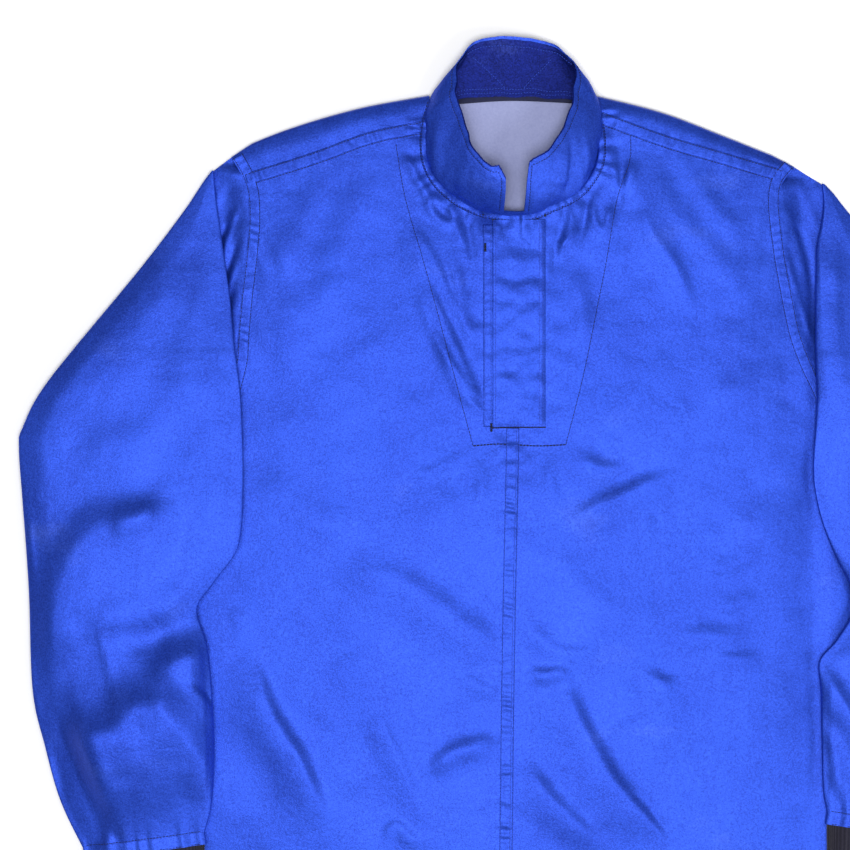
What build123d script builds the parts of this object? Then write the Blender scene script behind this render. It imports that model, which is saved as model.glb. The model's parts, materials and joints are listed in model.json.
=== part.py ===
from build123d import *
import math
import os

# Pullover work smock lying flat on its back, front uppermost, sleeves beside and partly over its sides.
# Millimetres. +X is the wearer's left, +Y runs towards the collar, +Z is up from the surface.
# The origin is the middle of the back neck seam, on the surface under the back panel.
# Every cloth piece is a thin closed solid. The body is a half ellipse in section with a flat underside,
# so a cloth layer is the space between two such domes, cut to the piece's outline seen from above.

# Overall sizes
HALF_WIDTH = 276.0        # centre to side seam
LAY_HEIGHT = 12.0         # top of the front cloth above the surface, at the centre
BODY_LENGTH = 680.0       # back neck seam to the hem's edge
SLEEVE_DROP = 0.0         # moves both cuffs this much further down
CLOTH = 1.0               # body cloth
FACING = 0.6              # facing, tape and strip cloth
LAYER_GAP = 0.1           # between cloth layers on one body
BODY_GAP = 0.6            # between cloth of different bodies
GROUND_GAP = 0.4          # under the sleeves' outer edges

# Neck and collar
NECK_HALF_WIDTH = 70.0
NECK_FRONT = 98.0         # front neckline below the back neck seam
NECK_BACK = 2.0
COLLAR_HEIGHT = 45.0      # how far the leaning back of the collar reaches past the back neck seam
COLLAR_RISE_FRONT = 23.0
COLLAR_RISE_BACK = 12.0
COLLAR_GAP = 0.25         # between the collar's layers
NECK_BAND_SHARE = 0.10    # share of the stand taken by the neck band
SLIT_LEFT, SLIT_RIGHT = -6.0, 10.0

# Placket, measured from the body's centre line
FLAP_FREE_X = -15.0
FLAP_FOLD_X = 21.0
FLAP_SEWN_X = 27.0
PLACKET_TOP = 101.5       # below the back neck seam
PLACKET_LENGTH = 164.0
FLAP_CLOTH = 0.8
BUTTON_RADIUS = 7.5
BUTTON_THICK = 2.0
BUTTON_COUNT = 3
BUTTON_X = 3.0
BUTTON_RIM = 1.8
BUTTON_DISH = 0.45        # depth of the hollow inside the rim
BUTTON_HOLE = 0.8         # radius of each of the four holes
BUTTON_HOLE_X = 1.6       # from the button's middle to a hole's, along X and along Y
SHANK_RADIUS = 0.7
EDGE_GAP = 4.0            # from the flap's free edge to the folded edge beside it
EDGE_WIDTH = 4.5
STAND_SPARE = 9.0         # how far the button stand reaches past the flap's free edge
STAND_GAP = 0.3           # between the facing, the button stand and the buttonhole strip
BUTTON_CLEAR = 0.2        # between the buttonhole strip and a button
FLAP_CLEAR = 0.3          # between a button and the flap
FOLD_CLEAR = 1.0          # between the moving flap and its sewn side
FOOT_DEPTH = 3.4          # sewn foot of the flap
TACK_WIDTH, TACK_LENGTH, TACK_THICK = 2.0, 8.0, 0.6

# Seams
FELL_WIDTH = 10.0
HEM_DEPTH = 24.0
SHOULDER_FORWARD = 21.0   # shoulder seam in front of the top fold
FACING_FOOT = 281.0       # lower edge of the V facing below the back neck seam
FACING_LINE = [(93, -42), (84, -84), (70, -136), (57, -200), (37, -FACING_FOOT)]  # its stitched side
SIDE_FELL_WIDTH = 16.0
TRIM_LIFT = 0.02          # between a trim strip and the cloth that it is sewn to

# Sleeves
SLEEVE_HEIGHT = 12.0
ARMHOLE_HEIGHT = 6.8
SLEEVE_HEM = 10.0
CUFF_LENGTH = 52.0
CUFF_SHARE = 0.84         # free end of the rib cuff against its sewn end

HEM_Y = -BODY_LENGTH
SKY = 80.0                # above everything, for cutting tools

# Armholes, from the shoulder point down: (inside the side seam, below the back neck seam)
ARMHOLE = {
    -1: [(51, 49), (63, 73), (65, 103), (62, 136), (58, 172), (55, 212)],
    1: [(49, 57), (60, 72), (61, 92), (57, 126), (51, 159), (44, 192), (34, 218)],
}
PIT_Y = -262.0
# Shoulder fold between the neck point and the shoulder point: (from the centre, below the back neck seam)
SHOULDER = {-1: [(66, 2), (120, 13), (170, 27)], 1: [(66, 2), (120, 15), (170, 34)]}
# Sleeve sections from the armhole to the cuff seam: inner point, then outer point,
# each as (outside the side seam, below the back neck seam)
SLEEVE = {
    -1: [(-76, 190, -72, 40), (-62, 198, -50, 50), (-60, 209, -22, 86), (-60, 236, 44, 166),
         (-60, 268, 95, 229), (-61, 312, 117, 285), (-56, 362, 115, 345), (-34, 402, 110, 405),
         (-36, 480, 107, 475), (-30, 588, 66, 601)],
    1: [(-62, 190, -66, 48), (-46, 200, -47, 58), (-34, 213, -8, 92), (-33, 240, 62, 168),
        (-34, 272, 112, 232), (-33, 315, 133, 290), (-24, 352, 134, 350), (-8, 398, 130, 405),
        (-29, 465, 122, 475), (-23, 573, 76, 592)],
}


def prism(edges, low=-1.0, high=SKY):
    """Upright block over a closed outline of edges."""
    return extrude(Pos(0, 0, low) * Face(Wire(edges)), amount=high - low, dir=(0, 0, 1))


def slab(x0, x1, y0, y1, z0, z1):
    return Pos((x0 + x1) / 2, (y0 + y1) / 2, (z0 + z1) / 2) * Box(abs(x1 - x0), abs(y1 - y0), abs(z1 - z0))


def dome(layer, floor=0.0):
    """Everything below a cloth surface that lies `layer` above the front's top face."""
    start = Plane((0, 80, 0), x_dir=(1, 0, 0), z_dir=(0, -1, 0))
    whole = extrude(start * Ellipse(HALF_WIDTH + layer, LAY_HEIGHT + layer), amount=80 + BODY_LENGTH)
    return whole & slab(-600, 600, HEM_Y - 10, 100, floor, SKY)


def layer_between(outer, inner, floor=0.0):
    return dome(outer, floor) - dome(inner, floor - 1.0)


def top_at(x):
    """Height of the front's top face at x, nothing beyond the side seams."""
    share = 1 - (x / HALF_WIDTH) ** 2
    return LAY_HEIGHT * math.sqrt(share) if share > 0 else 0.0


def largest(shape):
    """The main solid of a cut, without the crumbs left beside the neck."""
    return max(shape.solids(), key=lambda solid: solid.volume)


def armhole_points(side, shift=0.0):
    return [(side * (HALF_WIDTH - inside + shift), -down) for inside, down in ARMHOLE[side]]


def shoulder_points(side, down=0.0):
    tip = armhole_points(side)[0]
    near = [(side * x, -y - down) for x, y in SHOULDER[side]]
    return near + [(tip[0], tip[1] - down)]


def body_outline():
    """Outline of the body from above: hem, sides, armholes, shoulders and back neck."""
    edges = [Line((-HALF_WIDTH, HEM_Y), (HALF_WIDTH, HEM_Y))]
    for side in (1, -1):
        arm, top = armhole_points(side), shoulder_points(side)
        run = [Line((side * HALF_WIDTH, HEM_Y), (side * HALF_WIDTH, PIT_Y)),
               Line((side * HALF_WIDTH, PIT_Y), arm[-1]), Spline(*arm[::-1]), Spline(*top[::-1])]
        edges += run if side == 1 else run[::-1]
        if side == 1:
            left, right = shoulder_points(-1)[0], top[0]
            edges.append(Spline(right, (0, NECK_BACK), left))
    return edges


def neck_loop(rise, inset):
    """Closed neckline or collar loop, `rise` of the way from the neck seam to the collar's top edge."""
    width, back, front = NECK_HALF_WIDTH, NECK_BACK, NECK_FRONT
    reach = COLLAR_HEIGHT
    seam = [(7, -front), (33, -front + 8), (width - 14, -front + 21), (width, -front + 43), (width + 1, -30),
            (width - 5, -6), (40, back - 1), (0, back), (-38, back - 1), (-width + 6, -6), (-width, -30),
            (-width + 2, -front + 42), (-width + 15, -front + 22), (-30, -front + 6)]
    edge = [(3, -front + 38), (22, -front + 46), (37, -36), (45, -19), (50, 2), (50, back + reach - 24),
            (33, back + reach - 6), (0, back + reach), (-29, back + reach - 4), (-44, back + reach - 22),
            (-46, 5), (-42, -14), (-36, -38), (-18, -front + 41)]
    bulge = [3, 3, 3, 6, 9, 4, 2, 1, 2, 4, 9, 6, 3, 3]
    swell = 4 * rise * (1 - rise)
    count = len(seam)
    points = []
    for i in range(count):
        before, after = seam[i - 1], seam[(i + 1) % count]
        along = math.hypot(after[0] - before[0], after[1] - before[1])
        out_x, out_y = (after[1] - before[1]) / along, -(after[0] - before[0]) / along
        push = bulge[i] * swell - inset
        x = seam[i][0] * (1 - rise) + edge[i][0] * rise + out_x * push
        y = seam[i][1] * (1 - rise) + edge[i][1] * rise + out_y * push
        points.append((x, y))
    low_front, low_back = LAY_HEIGHT + 1.2, 2.2
    z_front = low_front + COLLAR_RISE_FRONT * rise + 3 * swell
    z_back = low_back + COLLAR_RISE_BACK * rise + swell
    y_front = -front * (1 - rise) + (-front + 38) * rise
    y_back = back * (1 - rise) + (back + reach) * rise
    tilt = (z_back - z_front) / (y_back - y_front)
    return [(x, y, z_front + (y - y_front) * tilt) for x, y in points]


def neck_hole(inset=0.0):
    loop = [(x, y) for x, y, z in neck_loop(0.0, inset)]
    return prism([Spline(*loop, periodic=True)], low=CLOTH + 0.01)


def stand(low, high, inset, thick):
    """One layer of the neck band or collar, a leaning ring."""
    def body(depth):
        loops = []
        for step in range(5):
            rise = low + (high - low) * step / 4
            loops.append(Face(Wire([Spline(*neck_loop(rise, depth), periodic=True)])))
        return loft(loops)
    return body(inset) - body(inset + thick)


def collar_room():
    """Space kept free round the collar and the neck band."""
    rises = [step / 4 for step in range(5)]
    return loft([Face(Wire([Spline(*neck_loop(rise, -COLLAR_GAP), periodic=True)])) for rise in rises])


def collar_layer(inset, thick):
    slit = slab(SLIT_LEFT, SLIT_RIGHT, -NECK_FRONT - 20, -35, -1, SKY)
    return stand(NECK_BAND_SHARE + 0.02, 1.0, inset, thick) - slit


def shoulder_zone(side, near, far):
    """Upright block between two lines that follow the shoulder fold, `near` and `far` in front of it."""
    upper, lower = shoulder_points(side, near), shoulder_points(side, far)
    ends = [Line(upper[-1], lower[-1]), Line(lower[0], upper[0])]
    return prism([Spline(*upper), ends[0], Spline(*lower[::-1]), ends[1]], low=0.0)


def placket_hole():
    return slab(FLAP_FREE_X - 4, FLAP_FOLD_X, -NECK_FRONT - 0.5 - PLACKET_LENGTH, -60, CLOTH + 0.01, SKY)


def back_panel():
    """Back, wrapped over both shoulders to the forward shoulder seams."""
    flat = prism(body_outline(), 0, CLOTH) & slab(-HALF_WIDTH + 2.4, HALF_WIDTH - 2.4, HEM_Y, 100, 0, CLOTH)
    outline, neck = prism(body_outline()), neck_hole() + collar_room()
    panel = flat
    for side in (-1, 1):
        wall = dome(0) & shoulder_zone(side, 0, CLOTH)
        yoke = layer_between(0, -CLOTH, CLOTH) & shoulder_zone(side, 0, SHOULDER_FORWARD)
        panel += ((wall + yoke) & outline) - neck
    return panel


def front_panel(side):
    """One front, from the shoulder seam to the hem, cut away for the neck and the placket."""
    shell = layer_between(0, -CLOTH) & prism(body_outline())
    for wing in (-1, 1):
        shell -= shoulder_zone(wing, -3, SHOULDER_FORWARD + LAYER_GAP)
    half = slab(side * LAYER_GAP / 2, side * 400, HEM_Y - 5, 60, -1, SKY)
    return largest((shell & half) - neck_hole() - collar_room() - placket_hole())


def facing(side):
    """V shaped facing under one front, from the shoulder seam down beside the placket."""
    line = [(side * x, y) for x, y in FACING_LINE]
    foot, top = (side * LAYER_GAP, line[-1][1]), (side * LAYER_GAP, line[0][1])
    half = [Spline(*line), Line(line[-1], foot), Line(foot, top), Line(top, line[0])]
    sheet = layer_between(-CLOTH - LAYER_GAP, -CLOTH - LAYER_GAP - FACING) & prism(half)
    return sheet - neck_hole() - placket_hole()


def underlay_top():
    return LAY_HEIGHT - CLOTH - LAYER_GAP - FACING - STAND_GAP


def underlay():
    """Button stand under the opening, reaching past it on both sides."""
    top = underlay_top()
    return slab(FLAP_FREE_X - STAND_SPARE, FLAP_SEWN_X + 1, -NECK_FRONT - 5 - PLACKET_LENGTH,
                -NECK_FRONT - 3, top - FLAP_CLOTH, top)


def button_y(index):
    step = PLACKET_LENGTH / BUTTON_COUNT
    return -PLACKET_TOP - step * (index + 0.5)


def strip_levels():
    low = underlay_top() + STAND_GAP
    return low, low + FACING


def buttonhole_strip():
    low, high = strip_levels()
    foot = -PLACKET_TOP - PLACKET_LENGTH + 3
    strip = slab(FLAP_FREE_X + 2, FLAP_FOLD_X - 0.5, foot, -PLACKET_TOP + 1, low, high)
    wide, long = 2 * SHANK_RADIUS + 0.8, 2 * BUTTON_RADIUS + 2
    for index in range(BUTTON_COUNT):
        strip -= Pos(BUTTON_X, button_y(index), low) * Box(wide, long, SKY)
    return strip


def button_base():
    return strip_levels()[1] + BUTTON_CLEAR


def button(index):
    """Four hole button with a raised rim."""
    place = Pos(BUTTON_X, button_y(index), button_base())
    disc = Pos(0, 0, BUTTON_THICK / 2) * Cylinder(BUTTON_RADIUS, BUTTON_THICK)
    dish = Pos(0, 0, BUTTON_THICK) * Cylinder(BUTTON_RADIUS - BUTTON_RIM, 2 * BUTTON_DISH)
    around = [(dx, dy) for dx in (-BUTTON_HOLE_X, BUTTON_HOLE_X) for dy in (-BUTTON_HOLE_X, BUTTON_HOLE_X)]
    holes = [Pos(dx, dy, 0) * Cylinder(BUTTON_HOLE, 4 * BUTTON_THICK) for dx, dy in around]
    return place * (fillet((disc - dish).edges().group_by(Axis.Z)[-1], 0.3) - holes)


def button_thread(index):
    """Thread shank that ties one button to the stand, between the stand and the button."""
    low, high = underlay_top(), button_base()
    return Pos(BUTTON_X, button_y(index), (low + high) / 2) * Cylinder(SHANK_RADIUS, high - low)


def flap_levels():
    low = button_base() + BUTTON_THICK + FLAP_CLEAR
    return low, low + FLAP_CLOTH


def placket_flap():
    """Outer flap that hides the buttons; it lifts along its fold."""
    low, high = flap_levels()
    foot = -PLACKET_TOP - PLACKET_LENGTH + FOOT_DEPTH + BODY_GAP
    flap = slab(FLAP_FREE_X, FLAP_FOLD_X - FOLD_CLEAR / 2, foot, -PLACKET_TOP, low, high)
    return fillet(flap.edges().filter_by(Axis.Z), FLAP_CLOTH * 0.4)


def flap_base():
    """Sewn side and foot of the flap, which stay on the front."""
    low, high = LAY_HEIGHT + TRIM_LIFT, flap_levels()[1]
    y0, y1 = -PLACKET_TOP - PLACKET_LENGTH, -PLACKET_TOP
    side = slab(FLAP_FOLD_X + FOLD_CLEAR / 2, FLAP_SEWN_X, y0, y1, low, high)
    return side + slab(FLAP_FREE_X, FLAP_SEWN_X, y0, y0 + FOOT_DEPTH, low, high)


def placket_edge():
    """Folded edge of the wearer's right front, seen beside the flap's free edge."""
    x1, low = FLAP_FREE_X - EDGE_GAP, LAY_HEIGHT + TRIM_LIFT
    foot, top = -PLACKET_TOP - PLACKET_LENGTH, -PLACKET_TOP - 2
    return slab(x1 - EDGE_WIDTH, x1, foot, top, low, low + 0.5)


def bar_tack(x, y):
    """Dense bar of stitching across the end of a seam, lying on the folded edge beside the flap."""
    tack = Pos(x, y, LAY_HEIGHT + 0.55 + TACK_THICK / 2) * Box(TACK_WIDTH, TACK_LENGTH, TACK_THICK)
    return fillet(tack.edges().filter_by(Axis.Z), TACK_THICK)


def bar_tacks():
    x = FLAP_FREE_X - EDGE_GAP - EDGE_WIDTH / 2
    return bar_tack(x, -PLACKET_TOP - 22) + bar_tack(x, -PLACKET_TOP - PLACKET_LENGTH + 5)


def centre_fell():
    """Felled seam down the centre front, from the placket's foot to the hem."""
    y1 = -PLACKET_TOP - PLACKET_LENGTH - 1
    zone = slab(-FELL_WIDTH / 2 - 1, FELL_WIDTH / 2 - 1, HEM_Y, y1, 0, SKY)
    return layer_between(FACING, TRIM_LIFT) & zone


def shoulder_fell(side):
    x1 = abs(armhole_points(side)[0][0]) - FELL_WIDTH - 14
    zone = shoulder_zone(side, SHOULDER_FORWARD - 1, SHOULDER_FORWARD + FELL_WIDTH)
    piece = layer_between(FACING, TRIM_LIFT) & zone & slab(0, side * x1, -200, 50, 0, SKY)
    return piece - neck_hole(-1.0) - collar_room()


def armhole_fell(side):
    """Felled seam round the front armhole, on the body's side of the seam."""
    outer, inner = armhole_points(side, -0.1), armhole_points(side, -FELL_WIDTH)
    ring = [Spline(*outer), Line(outer[-1], inner[-1]), Spline(*inner[::-1]), Line(inner[0], outer[0])]
    return layer_between(FACING, TRIM_LIFT) & prism(ring)


def side_fell(side):
    """Felled side seam inside the body, on the back panel and against the front's turned edge."""
    inner = side * (HALF_WIDTH - SIDE_FELL_WIDTH)
    zone = slab(inner, side * HALF_WIDTH, HEM_Y + HEM_DEPTH + 1, PIT_Y - 1, CLOTH, CLOTH + FACING)
    return dome(-CLOTH) & zone


def bottom_hem():
    """Turned up hem, a ring inside the body's lower edge."""
    outer = dome(-CLOTH - LAYER_GAP, CLOTH + LAYER_GAP)
    inner = dome(-CLOTH - LAYER_GAP - FACING, CLOTH + LAYER_GAP + FACING)
    return (outer - inner) & slab(-400, 400, HEM_Y, HEM_Y + HEM_DEPTH, 0, SKY)


def back_neck_tape():
    return slab(-45, 53, -8.5, -1.5, CLOTH, CLOTH + 0.5)


def eased(before, start, end, after, share):
    """Smooth value between `start` and `end`, which keeps the slope of their neighbours."""
    a, b, c = end - before, 2 * before - 5 * start + 4 * end - after, 3 * start - before - 3 * end + after
    return start + 0.5 * share * (a + share * (b + share * c))


def section_controls(side):
    """Controls of every sleeve section: the named ones with two eased ones between each pair."""
    named, last = SLEEVE[side], len(SLEEVE[side]) - 1
    height = {0: ARMHOLE_HEIGHT, 1: ARMHOLE_HEIGHT, 2: 9.0, 3: 11.0, last: SLEEVE_HEIGHT - 2}
    rows = []
    for i, (in_out, in_down, out_out, out_down) in enumerate(named):
        drop = SLEEVE_DROP * i / last
        lift = top_at(HALF_WIDTH + in_out) + FACING + BODY_GAP if i > 1 else 2.2 * i + 0.4
        rows.append((in_out, in_down + drop, out_out, out_down + drop, lift, height.get(i, SLEEVE_HEIGHT)))
    full = rows[:3]
    for i in range(2, last):
        near = rows[i - 1], rows[i], rows[i + 1], rows[min(i + 2, last)]
        for step in (1, 2, 3):
            full.append(tuple(eased(*values, step / 3) for values in zip(*near)))
    return full


def sleeve_planes(side):
    """Section planes of a sleeve with their widths and heights. Inner ends clear the body below them."""
    sections = []
    for in_out, in_down, out_out, out_down, lift, tall in section_controls(side):
        inner = Vector(side * (HALF_WIDTH + in_out), -in_down, lift)
        outer = Vector(side * (HALF_WIDTH + out_out), -out_down, GROUND_GAP)
        along = (outer - inner).normalized()
        flat = Vector(along.X, along.Y, 0).normalized()
        path = Vector(-side * flat.Y, side * flat.X, 0)
        up = along.cross(path) * side
        up = up if up.Z > 0 else up * -1
        centre = (inner + outer) * 0.5 + up * (tall / 2)
        sections.append((Plane(centre, x_dir=along, z_dir=path), (outer - inner).length, tall))
    return sections


def tube(sections, depth):
    outlines = [plane * SlotOverall(width - 2 * depth, tall - 2 * depth) for plane, width, tall in sections]
    return loft(outlines, ruled=True)


def sleeve(side):
    """Sleeve from the armhole to the cuff band, an open flattened tube."""
    sections = sleeve_planes(side)
    whole = tube(sections, 0) - tube(sections, CLOTH)
    curve = armhole_points(side, BODY_GAP + 0.2)
    far = side * (HALF_WIDTH - 150)
    corner = (curve[-1][0], curve[-1][1] + 3)
    edges = [Spline(*(curve[:-1] + [corner])), Line(corner, (far, corner[1])),
             Line((far, corner[1]), (far, 40)), Line((far, 40), (curve[0][0] - side * 2, 40)),
             Line((curve[0][0] - side * 2, 40), curve[0])]
    return largest(whole - prism(edges))


def sleeve_end(side):
    """Section at the cuff seam, with the direction that the cuff runs in."""
    plane, width, tall = sleeve_planes(side)[-1]
    away = plane.z_dir if plane.z_dir.Y < 0 else plane.z_dir * -1
    return plane, width, tall, away


def ring(side, start, length, width0, width1, tall0, tall1, thick):
    """Flattened tube that follows on from the sleeve's end."""
    plane, _, _, away = sleeve_end(side)
    near = Plane(plane.origin + away * start, x_dir=plane.x_dir, z_dir=plane.z_dir)
    far = Plane(plane.origin + away * (start + length), x_dir=plane.x_dir, z_dir=plane.z_dir)
    outer = loft([near * SlotOverall(width0, tall0), far * SlotOverall(width1, tall1)])
    inner = loft([near * SlotOverall(width0 - 2 * thick, tall0 - 2 * thick),
                  far * SlotOverall(width1 - 2 * thick, tall1 - 2 * thick)])
    return outer - inner


def sleeve_hem(side):
    """Double band of cloth at the sleeve's end, above the cuff."""
    _, width, tall, _ = sleeve_end(side)
    return ring(side, LAYER_GAP, SLEEVE_HEM, width, width, tall, tall, CLOTH + 0.4)


def rib_cuff(side):
    _, width, tall, _ = sleeve_end(side)
    start, wide, high = LAYER_GAP * 2 + SLEEVE_HEM, width - 4, tall - 0.6
    return ring(side, start, CUFF_LENGTH, wide, wide * CUFF_SHARE, high, high, CLOTH + 0.2)


def pieces():
    made = {
        "back_panel": back_panel(),
        "left_front_panel": front_panel(1), "right_front_panel": front_panel(-1),
        "left_front_facing": facing(1), "right_front_facing": facing(-1),
        "placket_underlay": underlay(), "buttonhole_strip": buttonhole_strip(),
        "placket_flap": placket_flap(), "placket_flap_base": flap_base(),
        "placket_edge": placket_edge(), "placket_bar_tacks": bar_tacks(),
        "neck_band": stand(0.0, NECK_BAND_SHARE, 0.6, CLOTH + 0.6),
        "collar_outer": collar_layer(0.6, 0.9),
        "collar_interlining": collar_layer(1.5 + COLLAR_GAP, 0.5),
        "collar_facing": collar_layer(2.0 + 2 * COLLAR_GAP, 0.9),
        "back_neck_tape": back_neck_tape(), "centre_front_fell": centre_fell(), "bottom_hem": bottom_hem(),
    }
    for index, name in enumerate(("upper", "middle", "lower")[:BUTTON_COUNT]):
        made[name + "_button"] = button(index)
        made[name + "_button_thread"] = button_thread(index)
    for side, name in ((1, "left_"), (-1, "right_")):
        made[name + "shoulder_fell"] = shoulder_fell(side)
        made[name + "armhole_fell"] = armhole_fell(side)
        made[name + "side_fell"] = side_fell(side)
        made[name + "sleeve"] = sleeve(side)
        made[name + "sleeve_hem"] = sleeve_hem(side)
        made[name + "rib_cuff"] = rib_cuff(side)
    return made


os.makedirs("parts", exist_ok=True)
for piece_name, piece in pieces().items():
    export_step(piece, "parts/" + piece_name + ".step")
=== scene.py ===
import json
import logging
import math
from dataclasses import dataclass, field
from enum import Enum
from typing import Callable, Dict, List, Optional, Sequence, Tuple

import bmesh
import bpy
import numpy as np
from mathutils import Matrix, Vector

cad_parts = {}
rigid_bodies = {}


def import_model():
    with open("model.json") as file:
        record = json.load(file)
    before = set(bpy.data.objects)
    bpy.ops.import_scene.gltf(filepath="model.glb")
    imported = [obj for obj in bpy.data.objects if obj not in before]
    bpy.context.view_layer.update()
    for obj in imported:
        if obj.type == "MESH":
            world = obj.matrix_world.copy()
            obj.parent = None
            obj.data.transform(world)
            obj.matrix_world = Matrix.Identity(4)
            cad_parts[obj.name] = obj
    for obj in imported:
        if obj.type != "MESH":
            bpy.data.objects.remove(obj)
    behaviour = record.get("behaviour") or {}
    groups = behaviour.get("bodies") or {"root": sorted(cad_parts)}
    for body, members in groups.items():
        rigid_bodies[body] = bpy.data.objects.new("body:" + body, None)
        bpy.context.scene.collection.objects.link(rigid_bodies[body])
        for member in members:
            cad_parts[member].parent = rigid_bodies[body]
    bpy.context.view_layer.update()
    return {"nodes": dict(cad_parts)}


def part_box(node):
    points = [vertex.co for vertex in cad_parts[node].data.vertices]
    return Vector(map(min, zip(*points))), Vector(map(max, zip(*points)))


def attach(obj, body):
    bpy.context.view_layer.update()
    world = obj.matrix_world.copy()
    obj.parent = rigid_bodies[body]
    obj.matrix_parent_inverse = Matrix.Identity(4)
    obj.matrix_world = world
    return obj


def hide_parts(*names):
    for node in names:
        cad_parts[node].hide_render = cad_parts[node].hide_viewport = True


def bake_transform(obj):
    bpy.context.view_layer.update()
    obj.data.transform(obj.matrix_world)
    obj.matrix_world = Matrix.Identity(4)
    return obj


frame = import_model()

# Pullover work smock in satin cloth, laid flat on its back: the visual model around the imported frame.
#
# Plan sizes are in millimetres, as a pattern cutter writes them, and become metres when a mesh is filled.
# X runs across the body to the wearer's left, Y towards the collar, Z up from the surface.

MM = 0.001
ROOT, FLAP, LEFT_ARM, RIGHT_ARM = "smock_body", "flap", "left_arm", "right_arm"
Plan = np.ndarray
Heights = Callable[[Plan], np.ndarray]
CLOTH = 0.6          # thickness of the satin
WELD = 0.01          # points nearer than this become one
INSIDE_TOP = -1.5    # the hem's cloth, down from the front's face
FINE = {"pitch": 2.4, "length": 2.0}                    # close topstitching of the placket
SMALL = {"pitch": 2.3, "length": 1.9, "radius": 0.3}    # closer still, on the collar
log = logging.getLogger("smock")


def settle(piece: bpy.types.Object, body: str, slot: str, *nodes: str) -> None:
    """Gives a piece its place in the frame.

    Args:
        piece: The finished piece.
        body: Body that it rides on.
        slot: Material slot of the record that its finish belongs to; not used.
        nodes: CAD nodes that it stands for, if any.
    """
    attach(piece, body)
    if nodes:
        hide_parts(*nodes)


class Side(Enum):
    """Which half of the smock a piece belongs to, as the wearer has it, with its direction along X."""

    LEFT = 1
    RIGHT = -1

    @property
    def label(self) -> str:
        """Prefix of the side's piece names."""
        return "left" if self is Side.LEFT else "right"

    @property
    def arm(self) -> str:
        """Body that the side's sleeve rides on."""
        return LEFT_ARM if self is Side.LEFT else RIGHT_ARM


# ---------------------------------------------------------------- lines and reliefs on the plan


class Path:
    """Smooth line on the plan through a few points, with lengths measured along it."""

    def __init__(self, points: Sequence[Tuple[float, float]], closed: bool = False,
                 smooth: bool = True) -> None:
        """Lays the line.

        Args:
            points: Points that the line passes through, in millimetres.
            closed: Whether the line returns to its first point.
            smooth: Whether the line curves between its points or runs straight.
        """
        given = np.array(points, float)
        if closed:
            given = np.vstack([given, given[:1]])
        if smooth and len(given) > 2:
            before = given[-2] if closed else 2 * given[0] - given[1]
            after = given[1] if closed else 2 * given[-1] - given[-2]
            full = np.vstack([before, given, after])
            share = np.linspace(0, 1, 13)[:-1, None]
            runs = []
            for i in range(1, len(full) - 2):
                p0, p1, p2, p3 = full[i - 1:i + 3]
                a, b, c = p2 - p0, 2 * p0 - 5 * p1 + 4 * p2 - p3, 3 * p1 - p0 - 3 * p2 + p3
                runs.append(p1 + 0.5 * share * (a + share * (b + share * c)))
            self.xy = np.vstack(runs + [given[-1:]])
        else:
            self.xy = given
        steps = np.linalg.norm(np.diff(self.xy, axis=0), axis=1)
        self.s = np.concatenate([[0.0], np.cumsum(steps)])
        self.length = float(self.s[-1])

    def at(self, s: np.ndarray) -> Plan:
        """Points at lengths s along the line."""
        return np.stack([np.interp(s, self.s, self.xy[:, 0]), np.interp(s, self.s, self.xy[:, 1])], -1)

    def normal(self, s: np.ndarray) -> Plan:
        """Unit normals to the left of the line at lengths s.

        Args:
            s: Lengths along the line.

        Returns:
            One unit normal for each length.
        """
        ahead = self.at(np.minimum(s + 1.0, self.length)) - self.at(np.maximum(s - 1.0, 0.0))
        ahead /= np.maximum(np.linalg.norm(ahead, axis=-1, keepdims=True), 1e-9)
        return np.stack([-ahead[..., 1], ahead[..., 0]], -1)

    def beside(self, offset: float) -> "Path":
        """The line moved to its left by offset millimetres."""
        s = np.linspace(0, self.length, max(int(self.length / 3), 3))
        return Path(self.at(s) + self.normal(s) * offset, smooth=False)

    def locate(self, xy: Plan, reach: float) -> Tuple[np.ndarray, np.ndarray]:
        """Finds where points lie against the line.

        Args:
            xy: Points on the plan.
            reach: Points further off than this needn't be exact.

        Returns:
            Length along the line of each point's foot, and its distance, positive to the left.
        """
        s, d = np.zeros(len(xy)), np.full(len(xy), 1e6)
        low, high = self.xy.min(0) - reach, self.xy.max(0) + reach
        near = np.where(((xy >= low) & (xy <= high)).all(1))[0]
        a, b = self.xy[:-1], self.xy[1:]
        run = b - a
        size = np.maximum((run ** 2).sum(1), 1e-9)
        for part in np.array_split(near, max(len(near) * len(a) // 2_000_000, 1)):
            if not len(part):
                continue
            rel = xy[part][:, None] - a[None]
            t = np.clip((rel * run).sum(2) / size, 0, 1)
            gap = rel - t[..., None] * run
            best = (gap ** 2).sum(2).argmin(1)
            row = np.arange(len(part))
            foot = gap[row, best]
            cross = run[best, 0] * foot[:, 1] - run[best, 1] * foot[:, 0]
            s[part] = self.s[best] + t[row, best] * np.sqrt(size[best])
            d[part] = np.where(cross >= 0, 1, -1) * np.hypot(foot[:, 0], foot[:, 1])
        return s, d


@dataclass
class Fold:
    """Soft ridge or, with a negative height, a hollow along a line, steeper on one side if asked."""

    points: List[Tuple[float, float]]
    height: float
    left: float = 12.0
    right: float = 12.0
    fade: float = 0.3

    def at(self, xy: Plan) -> np.ndarray:
        """Height that the fold adds at points on the plan.

        Args:
            xy: Points on the plan.

        Returns:
            One height for each point.
        """
        path = Path(self.points)
        s, d = path.locate(xy, 3 * max(self.left, self.right))
        width = np.where(d >= 0, self.left, self.right)
        share = s / path.length
        ends = np.clip(np.minimum(share, 1 - share) / max(self.fade, 1e-3), 0, 1)
        return self.height * np.exp(-(d / width) ** 2) * ends * ends * (3 - 2 * ends)


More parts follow.
